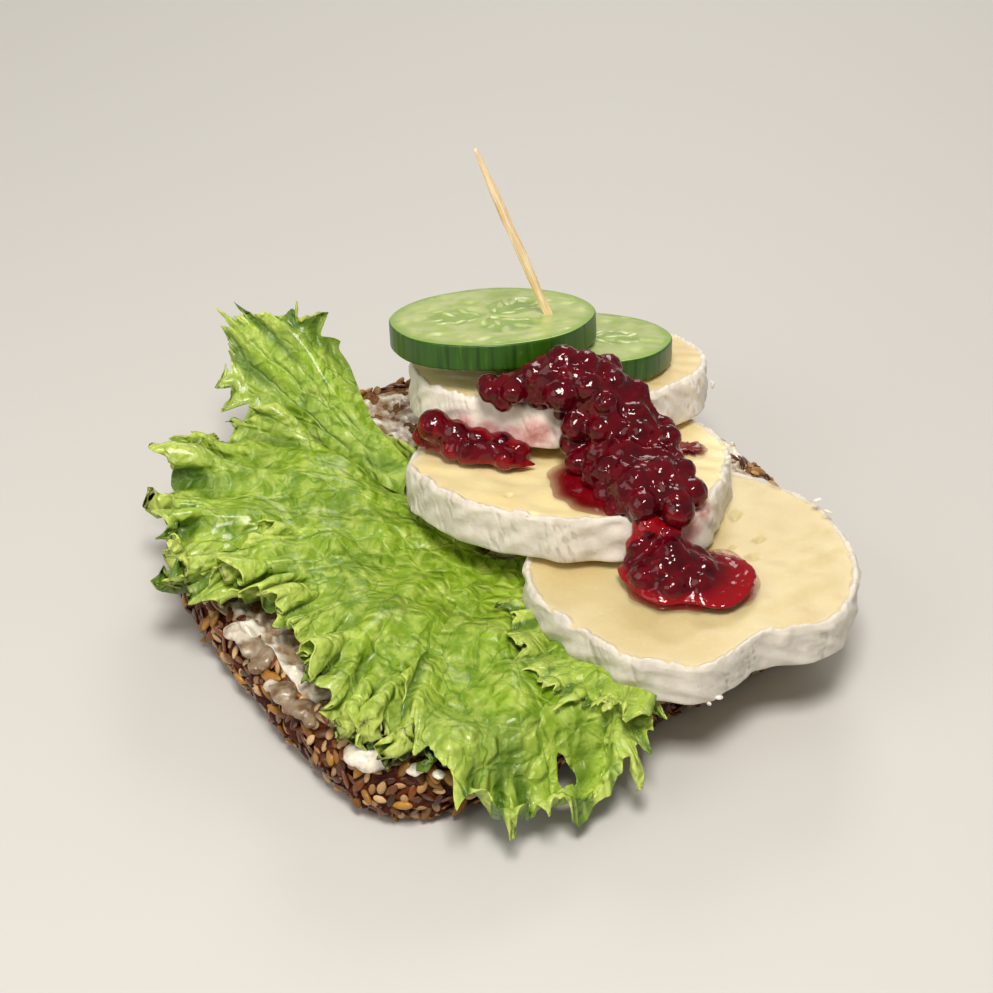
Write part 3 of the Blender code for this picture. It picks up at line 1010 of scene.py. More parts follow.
@dataclass(frozen=True)
class Cheese:
    """One slice of soft cheese in its rind.

    Bumps hold a direction, a width and a size, waves a count, a size and a shift, stains a place
    and a reach, and pits a place on the top and a width.
    """

    name: str
    node: str
    seed: int
    thickness: float = 10.5
    radius: float = 34.0
    bumps: Table = ()
    waves: Table = ()
    stains: Table = ()
    pits: Table = ()
    finish: CheeseFinish = CheeseFinish()
    wobble: float = 0.35
    crease_length: float = 1.7
    crease_depth: float = 0.13
    swell: float = 0.22
    lip_height: float = 0.22
    paste_unevenness: float = 0.12
    pit_depth: float = 0.9
    columns: int = 512

    def outline(self, angle: Array) -> Array:
        """The slice's radius in each direction.

        Args:
            angle: The directions.

        Returns:
            The radii.
        """
        reach = np.full_like(angle, self.radius)
        for degrees, width, size in self.bumps:
            reach = reach + size * peak(angle, degrees, width)
        for count, size, shift in self.waves:
            reach = reach + size * np.cos(count * angle - shift)
        wave = Ripple(self.seed, 0.9, waves=8)
        return reach + self.wobble * wave(2.0 * np.cos(angle), 2.0 * np.sin(angle))

    def profile(self) -> list[Point]:
        """Works out the rings from the middle of the top to the middle of the underside.

        Returns:
            Inset from the rim, height, and share of rind of each ring.
        """
        rings = [(self.radius * s, 0.0, 0.0) for s in np.linspace(1.0, 0.06, 34)]
        rings += [(1.7, 0.0, 0.0), (1.3, 0.03, 0.3), (0.95, 0.14, 0.75), (0.6, 0.2, 1.0)]
        rings += [(0.3, 0.12, 1.0), (0.1, -0.2, 1.0)]
        under = self.thickness
        depths = np.linspace(0.7, under - 0.7, 20)
        rings += [(-0.15 - 0.25 * math.sin(math.pi * d / under), -d, 1.0) for d in depths]
        rings += [(0.25, -under + 0.25, 1.0), (0.8, -under + 0.02, 1.0), (1.5, -under, 0.3)]
        rings += [(self.radius * s, -under, 0.0) for s in np.linspace(0.1, 1.0, 12)]
        return rings

    def build(self) -> bpy.types.Object:
        """Makes the slice in its place."""
        angle = full_turn(self.columns)
        inset, height, rind = np.array(self.profile()).T[..., None]
        x_arc, y_arc = self.radius * np.cos(angle), self.radius * np.sin(angle)
        lip = Ripple(self.seed + 1, 5.0)(x_arc, y_arc)
        creases = Ripple(self.seed + 2, self.crease_length, waves=24)
        creases = creases(x_arc + 0.3 * height, y_arc - 0.45 * height)
        strong = ease(Ripple(self.seed + 3, 9.0)(x_arc, y_arc), 0.0, 1.3)
        groove = -np.clip(creases, -2.0, 0.4) * strong
        share = np.clip(1.0 - inset / self.radius, 0.0, 1.03)
        near = ease(share, 0.5, 0.95)
        reach = share * (self.radius + near * (self.outline(angle) - self.radius))
        side = rind * ease(-height, 0.1, 1.2)
        tall = side * (1.0 - ease(-height, self.thickness - 1.5, self.thickness - 0.2))
        reach = reach - self.crease_depth * tall * groove
        x, y = reach * np.cos(angle), reach * np.sin(angle)
        reach = reach + self.swell * side * Ripple(self.seed + 4, 7.0)(x, y + 1.3 * height)
        on_top = (height > -0.5) * 1.0
        z = height + on_top * rind * (self.lip_height * lip + 0.12 * creases)
        uneven = self.paste_unevenness * Ripple(self.seed + 5, 9.0)(x, y)
        z = z + on_top * (1 - rind) * uneven
        x, y = reach * np.cos(angle), reach * np.sin(angle)
        for px, py, wide in self.pits:
            gap = ((x - px) ** 2 + (y - py) ** 2) / wide**2
            z = z - on_top * self.pit_depth * np.exp(-(gap**2)) * (1.0 + 0.3 * lip)
        rind = np.clip(rind + on_top * ease(inset, 2.6, 0.9) * 0.28 * lip, 0.0, 1.0)
        points = seat(stack(x, y, z), self.node)
        stain = np.zeros(points.shape[:2])
        for *place, wide in self.stains:
            gap = np.linalg.norm(points - np.array(place), axis=-1)
            stain = np.maximum(stain, ease(gap, wide, 0.35 * wide))
        # The zone's second number marks the rind's creases, where the finish paints shade.
        notes = {"zone": stack(rind, side * groove, inset), "stain": stack(stain, stain, stain)}
        piece = Bench.grid(self.name, points, notes, closed=True)
        return Bench.dress(piece, self.finish, "cheese", self.node)


@dataclass(frozen=True)
class Crumbs:
    """Torn bits of rind that cling to the slices' edges."""

    places: Table = (
        (76.3, -17.0, 26.4), (76.0, -19.0, 23.6), (73.2, -4.5, 29.3), (71.0, -1.0, 29.8),
        (43.6, -57.0, 20.6), (45.6, -56.8, 22.2), (52.4, 8.5, 38.0), (51.0, 3.0, 38.6),
        (48.6, 20.5, 45.6), (48.9, 24.0, 44.0),
    )  # fmt: skip
    seed: int = 91
    long: tuple[float, float] = (0.6, 1.2)
    wide: tuple[float, float] = (0.4, 0.6)
    height: float = 0.3
    # The zone's middle number gives the bits a little of the rind's painted crease shade.
    zone: Point = (1.0, 0.3, 4.0)

    def build(self) -> bpy.types.Object:
        """Makes the bits."""
        draw = np.random.default_rng(self.seed)
        template = Bench.ball((0.0, 0.0, 0.0), radius=1.0, cuts=2)
        turned = []
        for place in self.places:
            spin = tumble(draw)
            size = (draw.uniform(*self.long), draw.uniform(*self.wide), self.height)
            turned.append(placed(place, spin, size))
        bits = copies(template, "rind_bits", turned, np.tile(self.zone, (len(turned), 1)), "zone")
        return Bench.dress(bits, CheeseFinish("rind_bits"), "cheese")


@dataclass(frozen=True)
class Cucumber:
    """One slice of cucumber with its seed chambers.

    Rows say how far out the seeds lie, as shares of the radius.
    """

    name: str
    node: str
    radius: float
    thickness: float
    seed: int
    rows: tuple[float, ...] = (0.2, 0.34, 0.47, 0.56)
    columns: int = 360

    def seeds(self) -> Array:
        """Lays out seeds along both sides of the three chambers, one on each side in each row.

        Returns:
            The direction and the distance of each seed's middle, its heading and its half length.
        """
        draw = np.random.default_rng(self.seed)
        found = []
        for chamber in range(3):
            middle = TAU * chamber / 3 + 0.5 * self.seed
            for out in self.rows:
                for side in (-1.0, 1.0):
                    angle = middle + side * draw.uniform(0.16, 0.5) / (0.5 + out)
                    reach = self.radius * (out + draw.uniform(-0.03, 0.03))
                    heading = angle + side * draw.uniform(0.0, 0.5)
                    found.append((angle, reach, heading, draw.uniform(1.9, 2.9)))
        return np.array(found)

    def zones(self, x: Array, y: Array, rho: Array) -> tuple[Array, Array]:
        """Maps the cut face.

        Args:
            x: Where, across.
            y: Where, along.
            rho: The distance from the middle, 1 at the rim.

        Returns:
            How far each place belongs to a seed chamber, and to a seed.
        """
        angle = np.arctan2(y, x)
        middle = 0.5 * self.seed
        lobes = 0.5 + 0.5 * np.cos(3.0 * (angle - middle))
        reach = 0.36 + 0.26 * lobes
        chamber = ease(rho, reach + 0.04, reach - 0.05) * ease(rho, 0.03, 0.1)
        chamber = chamber * ease(lobes, 0.02, 0.3)
        seeds = np.zeros_like(x)
        for turned, out, heading, half in self.seeds():
            u = x - out * math.cos(turned)
            v = y - out * math.sin(turned)
            along = (u * math.cos(heading) + v * math.sin(heading)) / half
            across = (v * math.cos(heading) - u * math.sin(heading)) / (0.36 * half)
            seeds = np.maximum(seeds, 1.0 - along**2 - across**2)
        return chamber, np.clip(seeds, 0.0, 1.0)

    def profile(self) -> list[Point]:
        """Works out the rings from the middle of the top to the middle of the underside.

        Returns:
            Distance from the middle, 1 at the rim, height, and share of skin of each ring.
        """
        rim = 1.0 / self.radius
        under = self.thickness
        rings = [(s, 0.0, 0.0) for s in np.linspace(0.0, 0.972, 70)]
        rings += [(1.0 - 0.45 * rim, -0.02, 0.0), (1.0 - 0.2 * rim, -0.1, 0.6)]
        rings += [(1.0 - 0.05 * rim, -0.28, 1.0)]
        rings += [(1.0, -d, 1.0) for d in np.linspace(0.6, under - 0.6, 10)]
        rings += [(1.0 - 0.05 * rim, 0.28 - under, 1.0), (1.0 - 0.2 * rim, 0.1 - under, 0.6)]
        rings += [(s, -under, 0.0) for s in np.linspace(0.975, 0.0, 40)]
        return rings

    def build(self) -> bpy.types.Object:
        """Makes the slice in its place."""
        angle = full_turn(self.columns)
        outline = self.radius + 0.12 * np.sin(5 * angle) + 0.1 * np.cos(8 * angle)
        share, height, skin_share = np.array(self.profile()).T[..., None]
        x = share * outline * np.cos(angle)
        y = share * outline * np.sin(angle)
        chamber, seeds = self.zones(x, y, share)
        upper = height > -0.5 * self.thickness
        flesh = 1.0 - skin_share
        relief = 0.16 * seeds - 0.22 * chamber + 0.12 * Ripple(self.seed + 8, 6.0)(x, y)
        relief = relief * ease(share, 0.96, 0.9) * flesh
        z = height + np.where(upper, relief, -0.5 * relief)
        zones = stack(1.0 - flesh, chamber * flesh, seeds * flesh)
        notes = {"zone": zones, "place": stack(self.radius * angle, height, share)}
        piece = Bench.grid(self.name, seat(stack(x, y, z), self.node), notes, closed=True)
        return Bench.dress(piece, CucumberFinish(name=self.name), "cucumber", self.node)


# ---------------------------------------------------------------- bread


@dataclass(frozen=True)
class Bread:
    """Half a flat roll whose sides are crowded with seeds.

    Flats hold a direction and a distance from the middle. The profile runs up the side, with an
    inset and a height for each ring. Rows are those of the foot, the side and the top.
    """

    centre: tuple[float, float] = (-3.0, -3.0)
    radius: float = 74.0
    flats: tuple[tuple[float, float], ...] = ((-57.0, 55.5), (-147.0, 61.0))
    sharpness: float = 12.0
    columns: int = 640
    profile: Table = (
        (9.0, 0.0), (4.5, 0.6), (1.6, 3.0), (0.4, 7.0), (0.7, 10.5), (2.0, 13.4), (4.6, 15.0),
    )  # fmt: skip
    rows: tuple[int, int, int] = (20, 44, 70)
    crumb_rim_rows: int = 3
    lump_height: float = 0.5
    grain_height: float = 0.22
    pore_depth: float = 0.7

    def outline(self, angle: Array) -> Array:
        """The roll's radius in each direction, flattened on the sides that are named in flats.

        Args:
            angle: The directions.

        Returns:
            The radii.
        """
        reach = self.radius + 0.8 * np.sin(3 * angle + 0.6) + 0.6 * np.sin(5 * angle)
        total = reach**-self.sharpness
        for degrees, distance in self.flats:
            facing = np.maximum(np.cos(angle - math.radians(degrees)), 0.05)
            total = total + (distance / facing) ** -self.sharpness
        return total ** (-1.0 / self.sharpness)

    def surface(self, angle: Array, place: Array) -> Array:
        """Points on the side.

        Args:
            angle: The directions from the middle.
            place: How far up the profile each is, from 0 at the foot to 1 at the top's rim.

        Returns:
            The points.
        """
        rings = np.array(self.profile)
        spots = np.linspace(0.0, 1.0, len(rings))
        inset = np.interp(place, spots, rings[:, 0])
        height = np.interp(place, spots, rings[:, 1])
        reach = self.outline(angle) - inset
        x = self.centre[0] + reach * np.cos(angle)
        y = self.centre[1] + reach * np.sin(angle)
        return stack(x, y, height)

    def drawn_in(self, ring: Array, shares: Array) -> Array:
        """Flat rings between a ring and the roll's axis."""
        middle = np.array([*self.centre, 0.0])
        return middle + (ring - middle) * np.array([1.0, 1.0, 0.0]) * shares[:, None, None]

    def build(self) -> bpy.types.Object:
        """Makes the roll."""
        foot_rows, side_rows, top_rows = self.rows
        rising = np.linspace(0.0, 1.0, side_rows)[:, None]
        side = self.surface(full_turn(self.columns)[None, :], rising)
        top = self.drawn_in(side[-1], np.linspace(0.985, 0.0, top_rows))
        top[..., 2] = side[-1, 0, 2]
        base = self.drawn_in(side[0], np.linspace(0.0, 0.97, foot_rows))
        points = np.concatenate([base, side, top])
        crumb = np.zeros(points.shape[:2])
        crumb[foot_rows + side_rows - self.crumb_rim_rows :] = 1.0
        lump, fine = Ripple(31, 5.0, waves=24), Ripple(32, 1.9, waves=30)
        x, y, z = np.moveaxis(points, -1, 0)
        bumps = self.lump_height * lump(x + 0.6 * z, y - 0.8 * z)
        bumps = bumps + self.grain_height * fine(x - z, y + 0.9 * z)
        out = points[..., :2] - np.array(self.centre)
        away = out / np.maximum(np.linalg.norm(out, axis=-1), 1.0)[..., None]
        on_side = ease(z, 0.1, 2.0) * (1.0 - crumb)
        points[..., :2] += away * (on_side * bumps)[..., None]
        pores = ease(fine(1.3 * x, 1.3 * y), 0.7, 1.3) * crumb
        points[..., 2] += crumb * (0.35 * lump(x, y) - self.pore_depth * pores - 0.2)
        points[..., 2] = np.maximum(points[..., 2], 0.0)
        notes = {"zone": stack(crumb, pores, 0.0)}
        piece = Bench.grid("bread_crust", points, notes, closed=True)
        return Bench.dress(piece, CrustFinish(name="bread_crust"), "bread", "bread")


@dataclass(frozen=True)
class SeedShape:
    """A seed's half sizes, how pointed it is, how many there are, and their finish."""

    length: float
    width: float
    height: float
    tip: float
    count: int
    finish: SeedFinish

    def template(self) -> bpy.types.Object:
        """Makes one seed of true size, with a pointed end.

        Returns:
            The object.
        """
        seed = Bench.primitive("uv_sphere", segments=8, ring_count=7, radius=MM)
        for vertex in seed.data.vertices:
            x, y, z = vertex.co / MM
            narrow = 1.0 - self.tip * max(z, 0.0) ** 1.5
            shaped = (z * self.length, x * self.width * narrow, y * self.height * narrow)
            vertex.co = Vector(shaped) * MM
        return seed


class SeedKind(Enum):
    """The kinds of seed on the roll."""

    FLAX = SeedShape(
        length=2.2, width=1.15, height=0.42, tip=0.35, count=620,
        finish=SeedFinish("flax", "3c1602", "7c4416", roughness=0.22, coat=0.5),
    )  # fmt: skip
    SESAME = SeedShape(
        length=1.6, width=0.98, height=0.5, tip=0.4, count=420,
        finish=SeedFinish("sesame", "a07444", "dab888"),
    )  # fmt: skip
    SUNFLOWER = SeedShape(
        length=2.5, width=1.2, height=0.8, tip=0.5, count=200,
        finish=SeedFinish("sunflower", "7a4814", "b98838", roughness=0.33, coat=0.25),
    )  # fmt: skip


@dataclass(frozen=True)
class Seeds:
    """The seeds that crowd the roll's sides."""

    bread: Bread
    seed: int = 5
    spacing: float = 1.9
    above_table: float = 0.1
    tries_each: int = 30

    def spots(self, count: int) -> list[tuple[float, float]]:
        """Finds places on the side that keep a distance from each other.

        Args:
            count: How many are wanted.

        Returns:
            The direction of each, and how far up the side it is.
        """
        draw = np.random.default_rng(self.seed)
        kept = np.empty((0, 3))
        spots = []
        tries = 0
        while len(spots) < count and tries < self.tries_each * count:
            tries += 1
            angle = draw.uniform(0.0, TAU)
            place = draw.uniform(0.2, 1.02)
            point = self.bread.surface(np.array([angle]), np.array([place]))[0]
            if len(kept) and np.linalg.norm(kept - point, axis=1).min() < self.spacing:
                continue
            kept = np.vstack([kept, point])
            spots.append((angle, place))
        return spots

    def placing(
        self, angle: float, place: float, draw: np.random.Generator, lift: float
    ) -> Matrix:
        """Lays one seed flat on the crust, turned and tipped at random.

        Args:
            angle: Its direction from the roll's middle.
            place: How far up the side it is.
            draw: Gives the random turns.
            lift: How far its middle stands off the crust.

        Returns:
            Its matrix.
        """
        here, right, up = (
            self.bread.surface(np.array([angle + da]), np.array([place + dp]))[0]
            for da, dp in ((0.0, 0.0), (0.01, 0.0), (0.0, 0.03))
        )
        around = Vector(right - here).normalized()
        rise = Vector(up - here).normalized()
        normal = around.cross(rise).normalized()
        if normal.xy.dot(Vector(here[:2])) < 0 and place < 0.9:
            normal = -normal
        basis = Matrix((around, normal.cross(around), normal)).transposed()
        spin = Matrix.Rotation(draw.uniform(0.0, TAU), 3, "Z")
        tip = Matrix.Rotation(draw.normal(0.0, 0.3), 3, "Y")
        roll = Matrix.Rotation(draw.normal(0.0, 0.35), 3, "X")
        scale = draw.uniform(0.82, 1.15)
        turned = (basis @ spin @ tip @ roll * scale).to_4x4()
        turned.translation = (Vector(here) + normal * lift) * MM
        return turned

    def build(self) -> list[bpy.types.Object]:
        """Makes one piece for each kind of seed.

        Returns:
            The pieces.
        """
        draw = np.random.default_rng(self.seed + 1)
        spots = self.spots(sum(kind.value.count for kind in SeedKind))
        draw.shuffle(spots)
        pieces = []
        for kind in SeedKind:
            shape = kind.value
            mine, spots = spots[: shape.count], spots[shape.count :]
            lift = 0.55 * shape.height
            places = [self.placing(a, p, draw, lift + draw.uniform(-0.2, 0.4)) for a, p in mine]
            tones = draw.uniform(0.0, 1.0, (len(places), 3))
            piece = copies(shape.template(), f"{kind.name.lower()}_seeds", places, tones)
            for vertex in piece.data.vertices:
                vertex.co.z = max(vertex.co.z, self.above_table * MM)
            pieces.append(Bench.dress(piece, shape.finish, "bread"))
        return pieces


@dataclass(frozen=True)
class Spread:
    """The spread on the roll: thin smears, and lumps that squeeze out.

    Lumps hold a place on the roll, a height and a width. Drops hold a place, a radius, and how
    white they are.
    """

    bread: Bread
    lumps: Table = (
        (-54.5, -29.0, 2.6, 3.6), (-50.0, -36.5, 2.4, 3.6), (-45.0, -44.0, 2.0, 5.0),
        (-29.0, -60.5, 3.0, 4.2), (-22.5, 27.0, 2.6, 4.5), (53.0, 40.0, 2.0, 4.5),
        (58.0, 36.0, 1.6, 3.0),
    )  # fmt: skip
    drops: Table = (
        (-56.5, -29.0, 15.4, 2.2, 0.45), (-54.5, -31.5, 15.6, 1.7, 0.4),
        (-52.0, -34.0, 15.2, 2.6, 0.12), (-49.0, -36.0, 15.4, 2.0, 0.1),
        (-50.5, -39.0, 14.6, 2.1, 0.05), (-47.5, -45.5, 14.8, 1.7, 0.3),
        (-44.5, -48.0, 15.4, 2.6, 0.12), (-43.0, -52.0, 14.6, 1.8, 0.05),
        (-40.0, -52.5, 15.0, 2.4, 0.1), (-38.5, -56.0, 14.4, 1.5, 0.05),
        (-28.0, -66.5, 15.6, 2.8, 0.6), (-25.5, -68.0, 14.8, 2.7, 0.55),
        (-23.0, -67.5, 15.8, 2.3, 0.65), (-16.8, -70.5, 15.0, 1.7, 1.0),
        (-15.2, -70.8, 16.0, 1.3, 1.0), (-11.5, -71.6, 14.8, 1.4, 1.0),
    )  # fmt: skip
    drop_finish: SpreadFinish = SpreadFinish("spread_drops", grey="938068", bread="6f5136")
    drop_swell: float = 1.2
    drop_height: float = 0.55
    rim_inset: float = 4.2
    level: float = 14.75
    underside: float = 14.2
    white_from: float = 1.8
    columns: int = 640

    def squeezed(self) -> bpy.types.Object:
        """Makes the drops that the leaves have pushed out over the roll's rim.

        Returns:
            The object.
        """
        balls = [
            Bench.ball(place, self.drop_swell * radius, cuts=3, flat=self.drop_height)
            for *place, radius, _ in self.drops
        ]
        drops = Bench.join("spread_drops", balls)
        wrap(drops, voxel=0.4, passes=24, lumps=((3.0, 1.2), (1.2, 0.2)))
        spots = np.array(self.drops)
        places = np.array([drops.matrix_world @ vertex.co for vertex in drops.data.vertices]) / MM
        gap = np.linalg.norm(places[:, None] - spots[None, :, :3], axis=-1) / spots[:, 3]
        near = np.exp(-(gap**2))
        whole = (near * spots[:, 4]).sum(axis=1) / near.sum(axis=1)
        Bench.note(drops, "zone", stack(whole, whole, whole))
        return Bench.dress(drops, self.drop_finish, "spread")

    def smeared(self) -> bpy.types.Object:
        """Makes the spread as one sheet with a thick edge.

        Returns:
            The object.
        """
        angle = full_turn(self.columns)
        inset = self.rim_inset + Ripple(41, 0.35, waves=12)(np.cos(angle), np.sin(angle))
        reach = self.bread.outline(angle) - inset
        shares = np.r_[np.linspace(0.0, 0.9, 46), np.linspace(0.906, 1.0, 24)][:, None]
        x = self.bread.centre[0] + shares * reach * np.cos(angle)
        y = self.bread.centre[1] + shares * reach * np.sin(angle)
        body = 0.35 + 0.3 * Ripple(42, 8.0)(x, y) + 0.16 * Ripple(43, 2.6, waves=24)(x, y)
        thick = np.clip(body, 0.0, None) * ease(shares, 1.0, 0.95)
        uneven = 1.0 + 0.25 * Ripple(44, 3.0)(x, y)
        for lx, ly, high, wide in self.lumps:
            gap = ((x - lx) ** 2 + (y - ly) ** 2) / wide**2
            thick = thick + high * np.exp(-(gap**1.5)) * uneven
        under = stack(x[::-1], y[::-1], self.underside)
        points = np.concatenate([stack(x, y, self.level + thick), under])
        heaped = np.clip(thick / self.white_from, 0.0, 1.0)
        shade = np.concatenate([heaped, heaped * 0.0])
        notes = {"zone": stack(shade, shade, shade)}
        piece = Bench.grid("spread_smear", points, notes, closed=True)
        return Bench.dress(piece, SpreadFinish(), "spread", "spread")

    def build(self) -> list[bpy.types.Object]:
        """Makes the smear, then the drops."""
        return [self.smeared(), self.squeezed()]


# ---------------------------------------------------------------- lettuce


@dataclass(frozen=True)
class Ruffles:
    """The waves along a leaf's margin and its teeth.

    Each kind of wave has a length, a height, and a depth inwards from the margin. The teeth have
    a spacing, a height, and a share of small nicks between them.
    """

    folds: Point
    frills: Point
    crimps: Point
    tooth: Point
    overhang: float


@dataclass(frozen=True)
class Leaf:
    """A blade that fans out from its root over what lies below it.

    Angles are in degrees about the root. Reaches give the blade's length in each direction, lifts
    a direction, a width and a height, ruffles the kind of margin from each direction to the next,
    and holes a place and a radius.
    """

    name: str
    node: str
    root: tuple[float, float]
    start: float
    end: float
    reaches: Table
    lifts: Table
    ruffles: tuple[tuple[float, Ruffles], ...]
    seed: int
    inner: float = 0.1
    columns: int = 400
    rows: int = 110
    holes: Table = ()
    thickness: float = 0.32
    flare: float = 0.0
    softness: int = 4
    toothed: float = 7.0 / 75.0
    crowding: float = 1.25
    unevenness: float = 22.0
    buckle: float = 0.8
    rib_spread: float = 45.0
    above_table: float = 0.6

    def of_ruffles(self, degrees: Array, name: str) -> list[Array]:
        """Reads the three numbers of one kind of wave or tooth.

        Args:
            degrees: The directions.
            name: The kind, as a field of Ruffles.

        Returns:
            Each of the numbers in each direction.
        """
        spots, kinds = zip(*self.ruffles)
        return [np.interp(degrees, spots, row) for row in zip(*(getattr(k, name) for k in kinds))]

    def waved(self, points: Array, phase: Array, size: Array, overhang: float) -> Array:
        """Folds the surface into waves whose crests lean over their troughs.

        Args:
            points: The surface.
            phase: How far on in its wave each point is, in radians.
            size: The waves' height at each point.
            overhang: How far the crests lean, as a share of the height.

        Returns:
            The points of the folded surface.
        """
        along = np.gradient(points, axis=1)
        along = along / lengths(along)
        normal = np.cross(np.gradient(points, axis=0), along)
        normal = normal / lengths(normal)
        rise = size * np.sin(phase)
        lean = -overhang * size * np.sin(2.0 * phase)
        return points + normal * rise[..., None] + along * lean[..., None]

    def laid(self, angle: Array, share: Array, out: Array) -> Array:
        """The blade before it is ruffled, lying over the food.

        Args:
            angle: The direction of each column from the root.
            share: How far out each row is, 1 at the margin.
            out: The distance of each point from the root.

        Returns:
            Its points.
        """
        x = self.root[0] + out * np.cos(angle)
        y = self.root[1] + out * np.sin(angle)
        solid = Solid(self.node)
        z = smooth_sheet(np.vectorize(solid.near_top, [float])(x, y), self.softness)
        for turned, width, lift in self.lifts:
            z = z + lift * peak(angle, turned, width) * ease(share, 0.05, 0.55)
        z = z + self.buckle * Ripple(self.seed + 1, 17.0)(x, y) * ease(share, 0.1, 0.4)
        return stack(x, y, z + self.flare * ease(share, 0.72, 1.0))

    def teeth(self, degrees: Array, arc: Array) -> Array:
        """Works out how far the teeth stand out from the margin.

        Args:
            degrees: The directions.
            arc: The distance along the margin.

        Returns:
            Their height in each direction.
        """
        drift = Ripple(self.seed, self.unevenness, 8)(arc)
        spacing, height, nicks = self.of_ruffles(degrees, "tooth")
        clock = np.cumsum(np.gradient(arc) / spacing) + 0.35 * drift
        size = 0.55 + 0.45 * np.sin(2.4 * clock + 1.7 * drift + self.seed)
        large = size * zigzag(clock) ** 1.4
        return height * (large + nicks * zigzag(2.7 * clock + 0.4 * drift) ** 1.3)

    def surface(self) -> tuple[Array, Array, Array]:
        """Works out the blade.

        Returns:
            Its points, the map of each (place along, place out, distance from the margin), and
            how far each stands on a crest, which the finish turns into painted shade in the troughs
            and painted highlights on the crests.
        """
        degrees = np.linspace(self.start, self.end, self.columns)
        angle = np.radians(degrees)
        reach = smooth(np.interp(degrees, *zip(*self.reaches)), 9)
        crowded = 1.0 - (1.0 - np.linspace(self.inner, 1.0, self.rows)) ** self.crowding
        share = crowded[:, None]
        arc = np.cumsum(np.r_[0.0, np.hypot(np.diff(reach), reach[1:] * np.diff(angle))])
        margin = reach + self.teeth(degrees, arc)
        pull = ease(share, 1.0 - self.toothed, 1.0)
        out = share * (reach + pull * (margin - reach))
        points = self.laid(angle, share, out)
        crest = np.zeros_like(out)
        inside = (1.0 - share) * reach
        spots, kinds = zip(*self.ruffles)
        over = float(np.interp(degrees, spots, [kind.overhang for kind in kinds]).mean())
        # The crest numbers feed the finish's painted shade in the troughs and painted highlights on
        # the crests.
        waves = (("folds", 0.5), ("frills", 0.6), ("crimps", 0.3))
        for k, (name, shading) in enumerate(waves):
            length, tall, depth = self.of_ruffles(degrees, name)
            wander = Ripple(self.seed + 3 + k, 3.0 * float(length.mean()), 9)(arc)
            phase = TAU * np.cumsum(np.gradient(arc) / length) + 1.3 * wander
            uneven = 0.8 + 0.35 * Ripple(self.seed + 7 + k, self.unevenness)(arc)
            grown = ease(depth - inside, 0.0, depth) * uneven
            bent = phase + (0.9 / length) * inside * (1.0 + 0.6 * wander)
            points = self.waved(points, bent, grown * tall, over)
            crest = crest + shading * ease(grown, 0.0, 0.8) * np.sin(bent)
        places = stack(np.broadcast_to(self.rib_spread * angle, out.shape), share * reach, inside)
        return points, places, stack(crest, crest, crest)

    def build(self) -> bpy.types.Object:
        """Makes the leaf, with its thickness."""
        points, places, crest = self.surface()
        points[..., 2] = np.maximum(points[..., 2], self.above_table)
        piece = Bench.grid(self.name, points, {"leaf_map": places, "crest": crest})
        if self.holes:
            self.pierce(piece)
        solidify = piece.modifiers.new("thickness", "SOLIDIFY")
        solidify.thickness = self.thickness * MM
        solidify.offset = 0.0
        Bench.apply(piece)
        return Bench.dress(piece, LeafFinish(name=self.name), "lettuce")

    def in_hole(self, place: Vector, reach: float, ragged: float) -> bool:
        """Tells whether a point lies in one of the holes.

        Args:
            place: The point, in metres.
            reach: How much larger than the hole is still counted.
            ragged: How uneven the hole's edge is.

        Returns:
            Whether it does.
        """
        for x, y, radius in self.holes:
            u, v = place.x / MM - x, place.y / MM - y
            edge = reach + ragged * math.sin(3 * math.atan2(v, u) + x)
            if math.hypot(u, v) < radius * edge:
                return True
        return False

    def pierce(self, piece: bpy.types.Object) -> None:
        """Takes out the faces inside each hole and evens its rim."""
        body = bmesh.new()
        body.from_mesh(piece.data)
        torn = [f for f in body.faces if self.in_hole(f.calc_center_median(), 1.0, 0.22)]
        bmesh.ops.delete(body, geom=torn, context="FACES")
        rims = [v for v in body.verts if v.is_boundary and self.in_hole(v.co, 1.8, 0.0)]
        axes = {f"use_axis_{axis}": True for axis in "xyz"}
        for _ in range(6):
            bmesh.ops.smooth_vert(body, verts=rims, factor=0.5, **axes)
        body.to_mesh(piece.data)
        body.free()


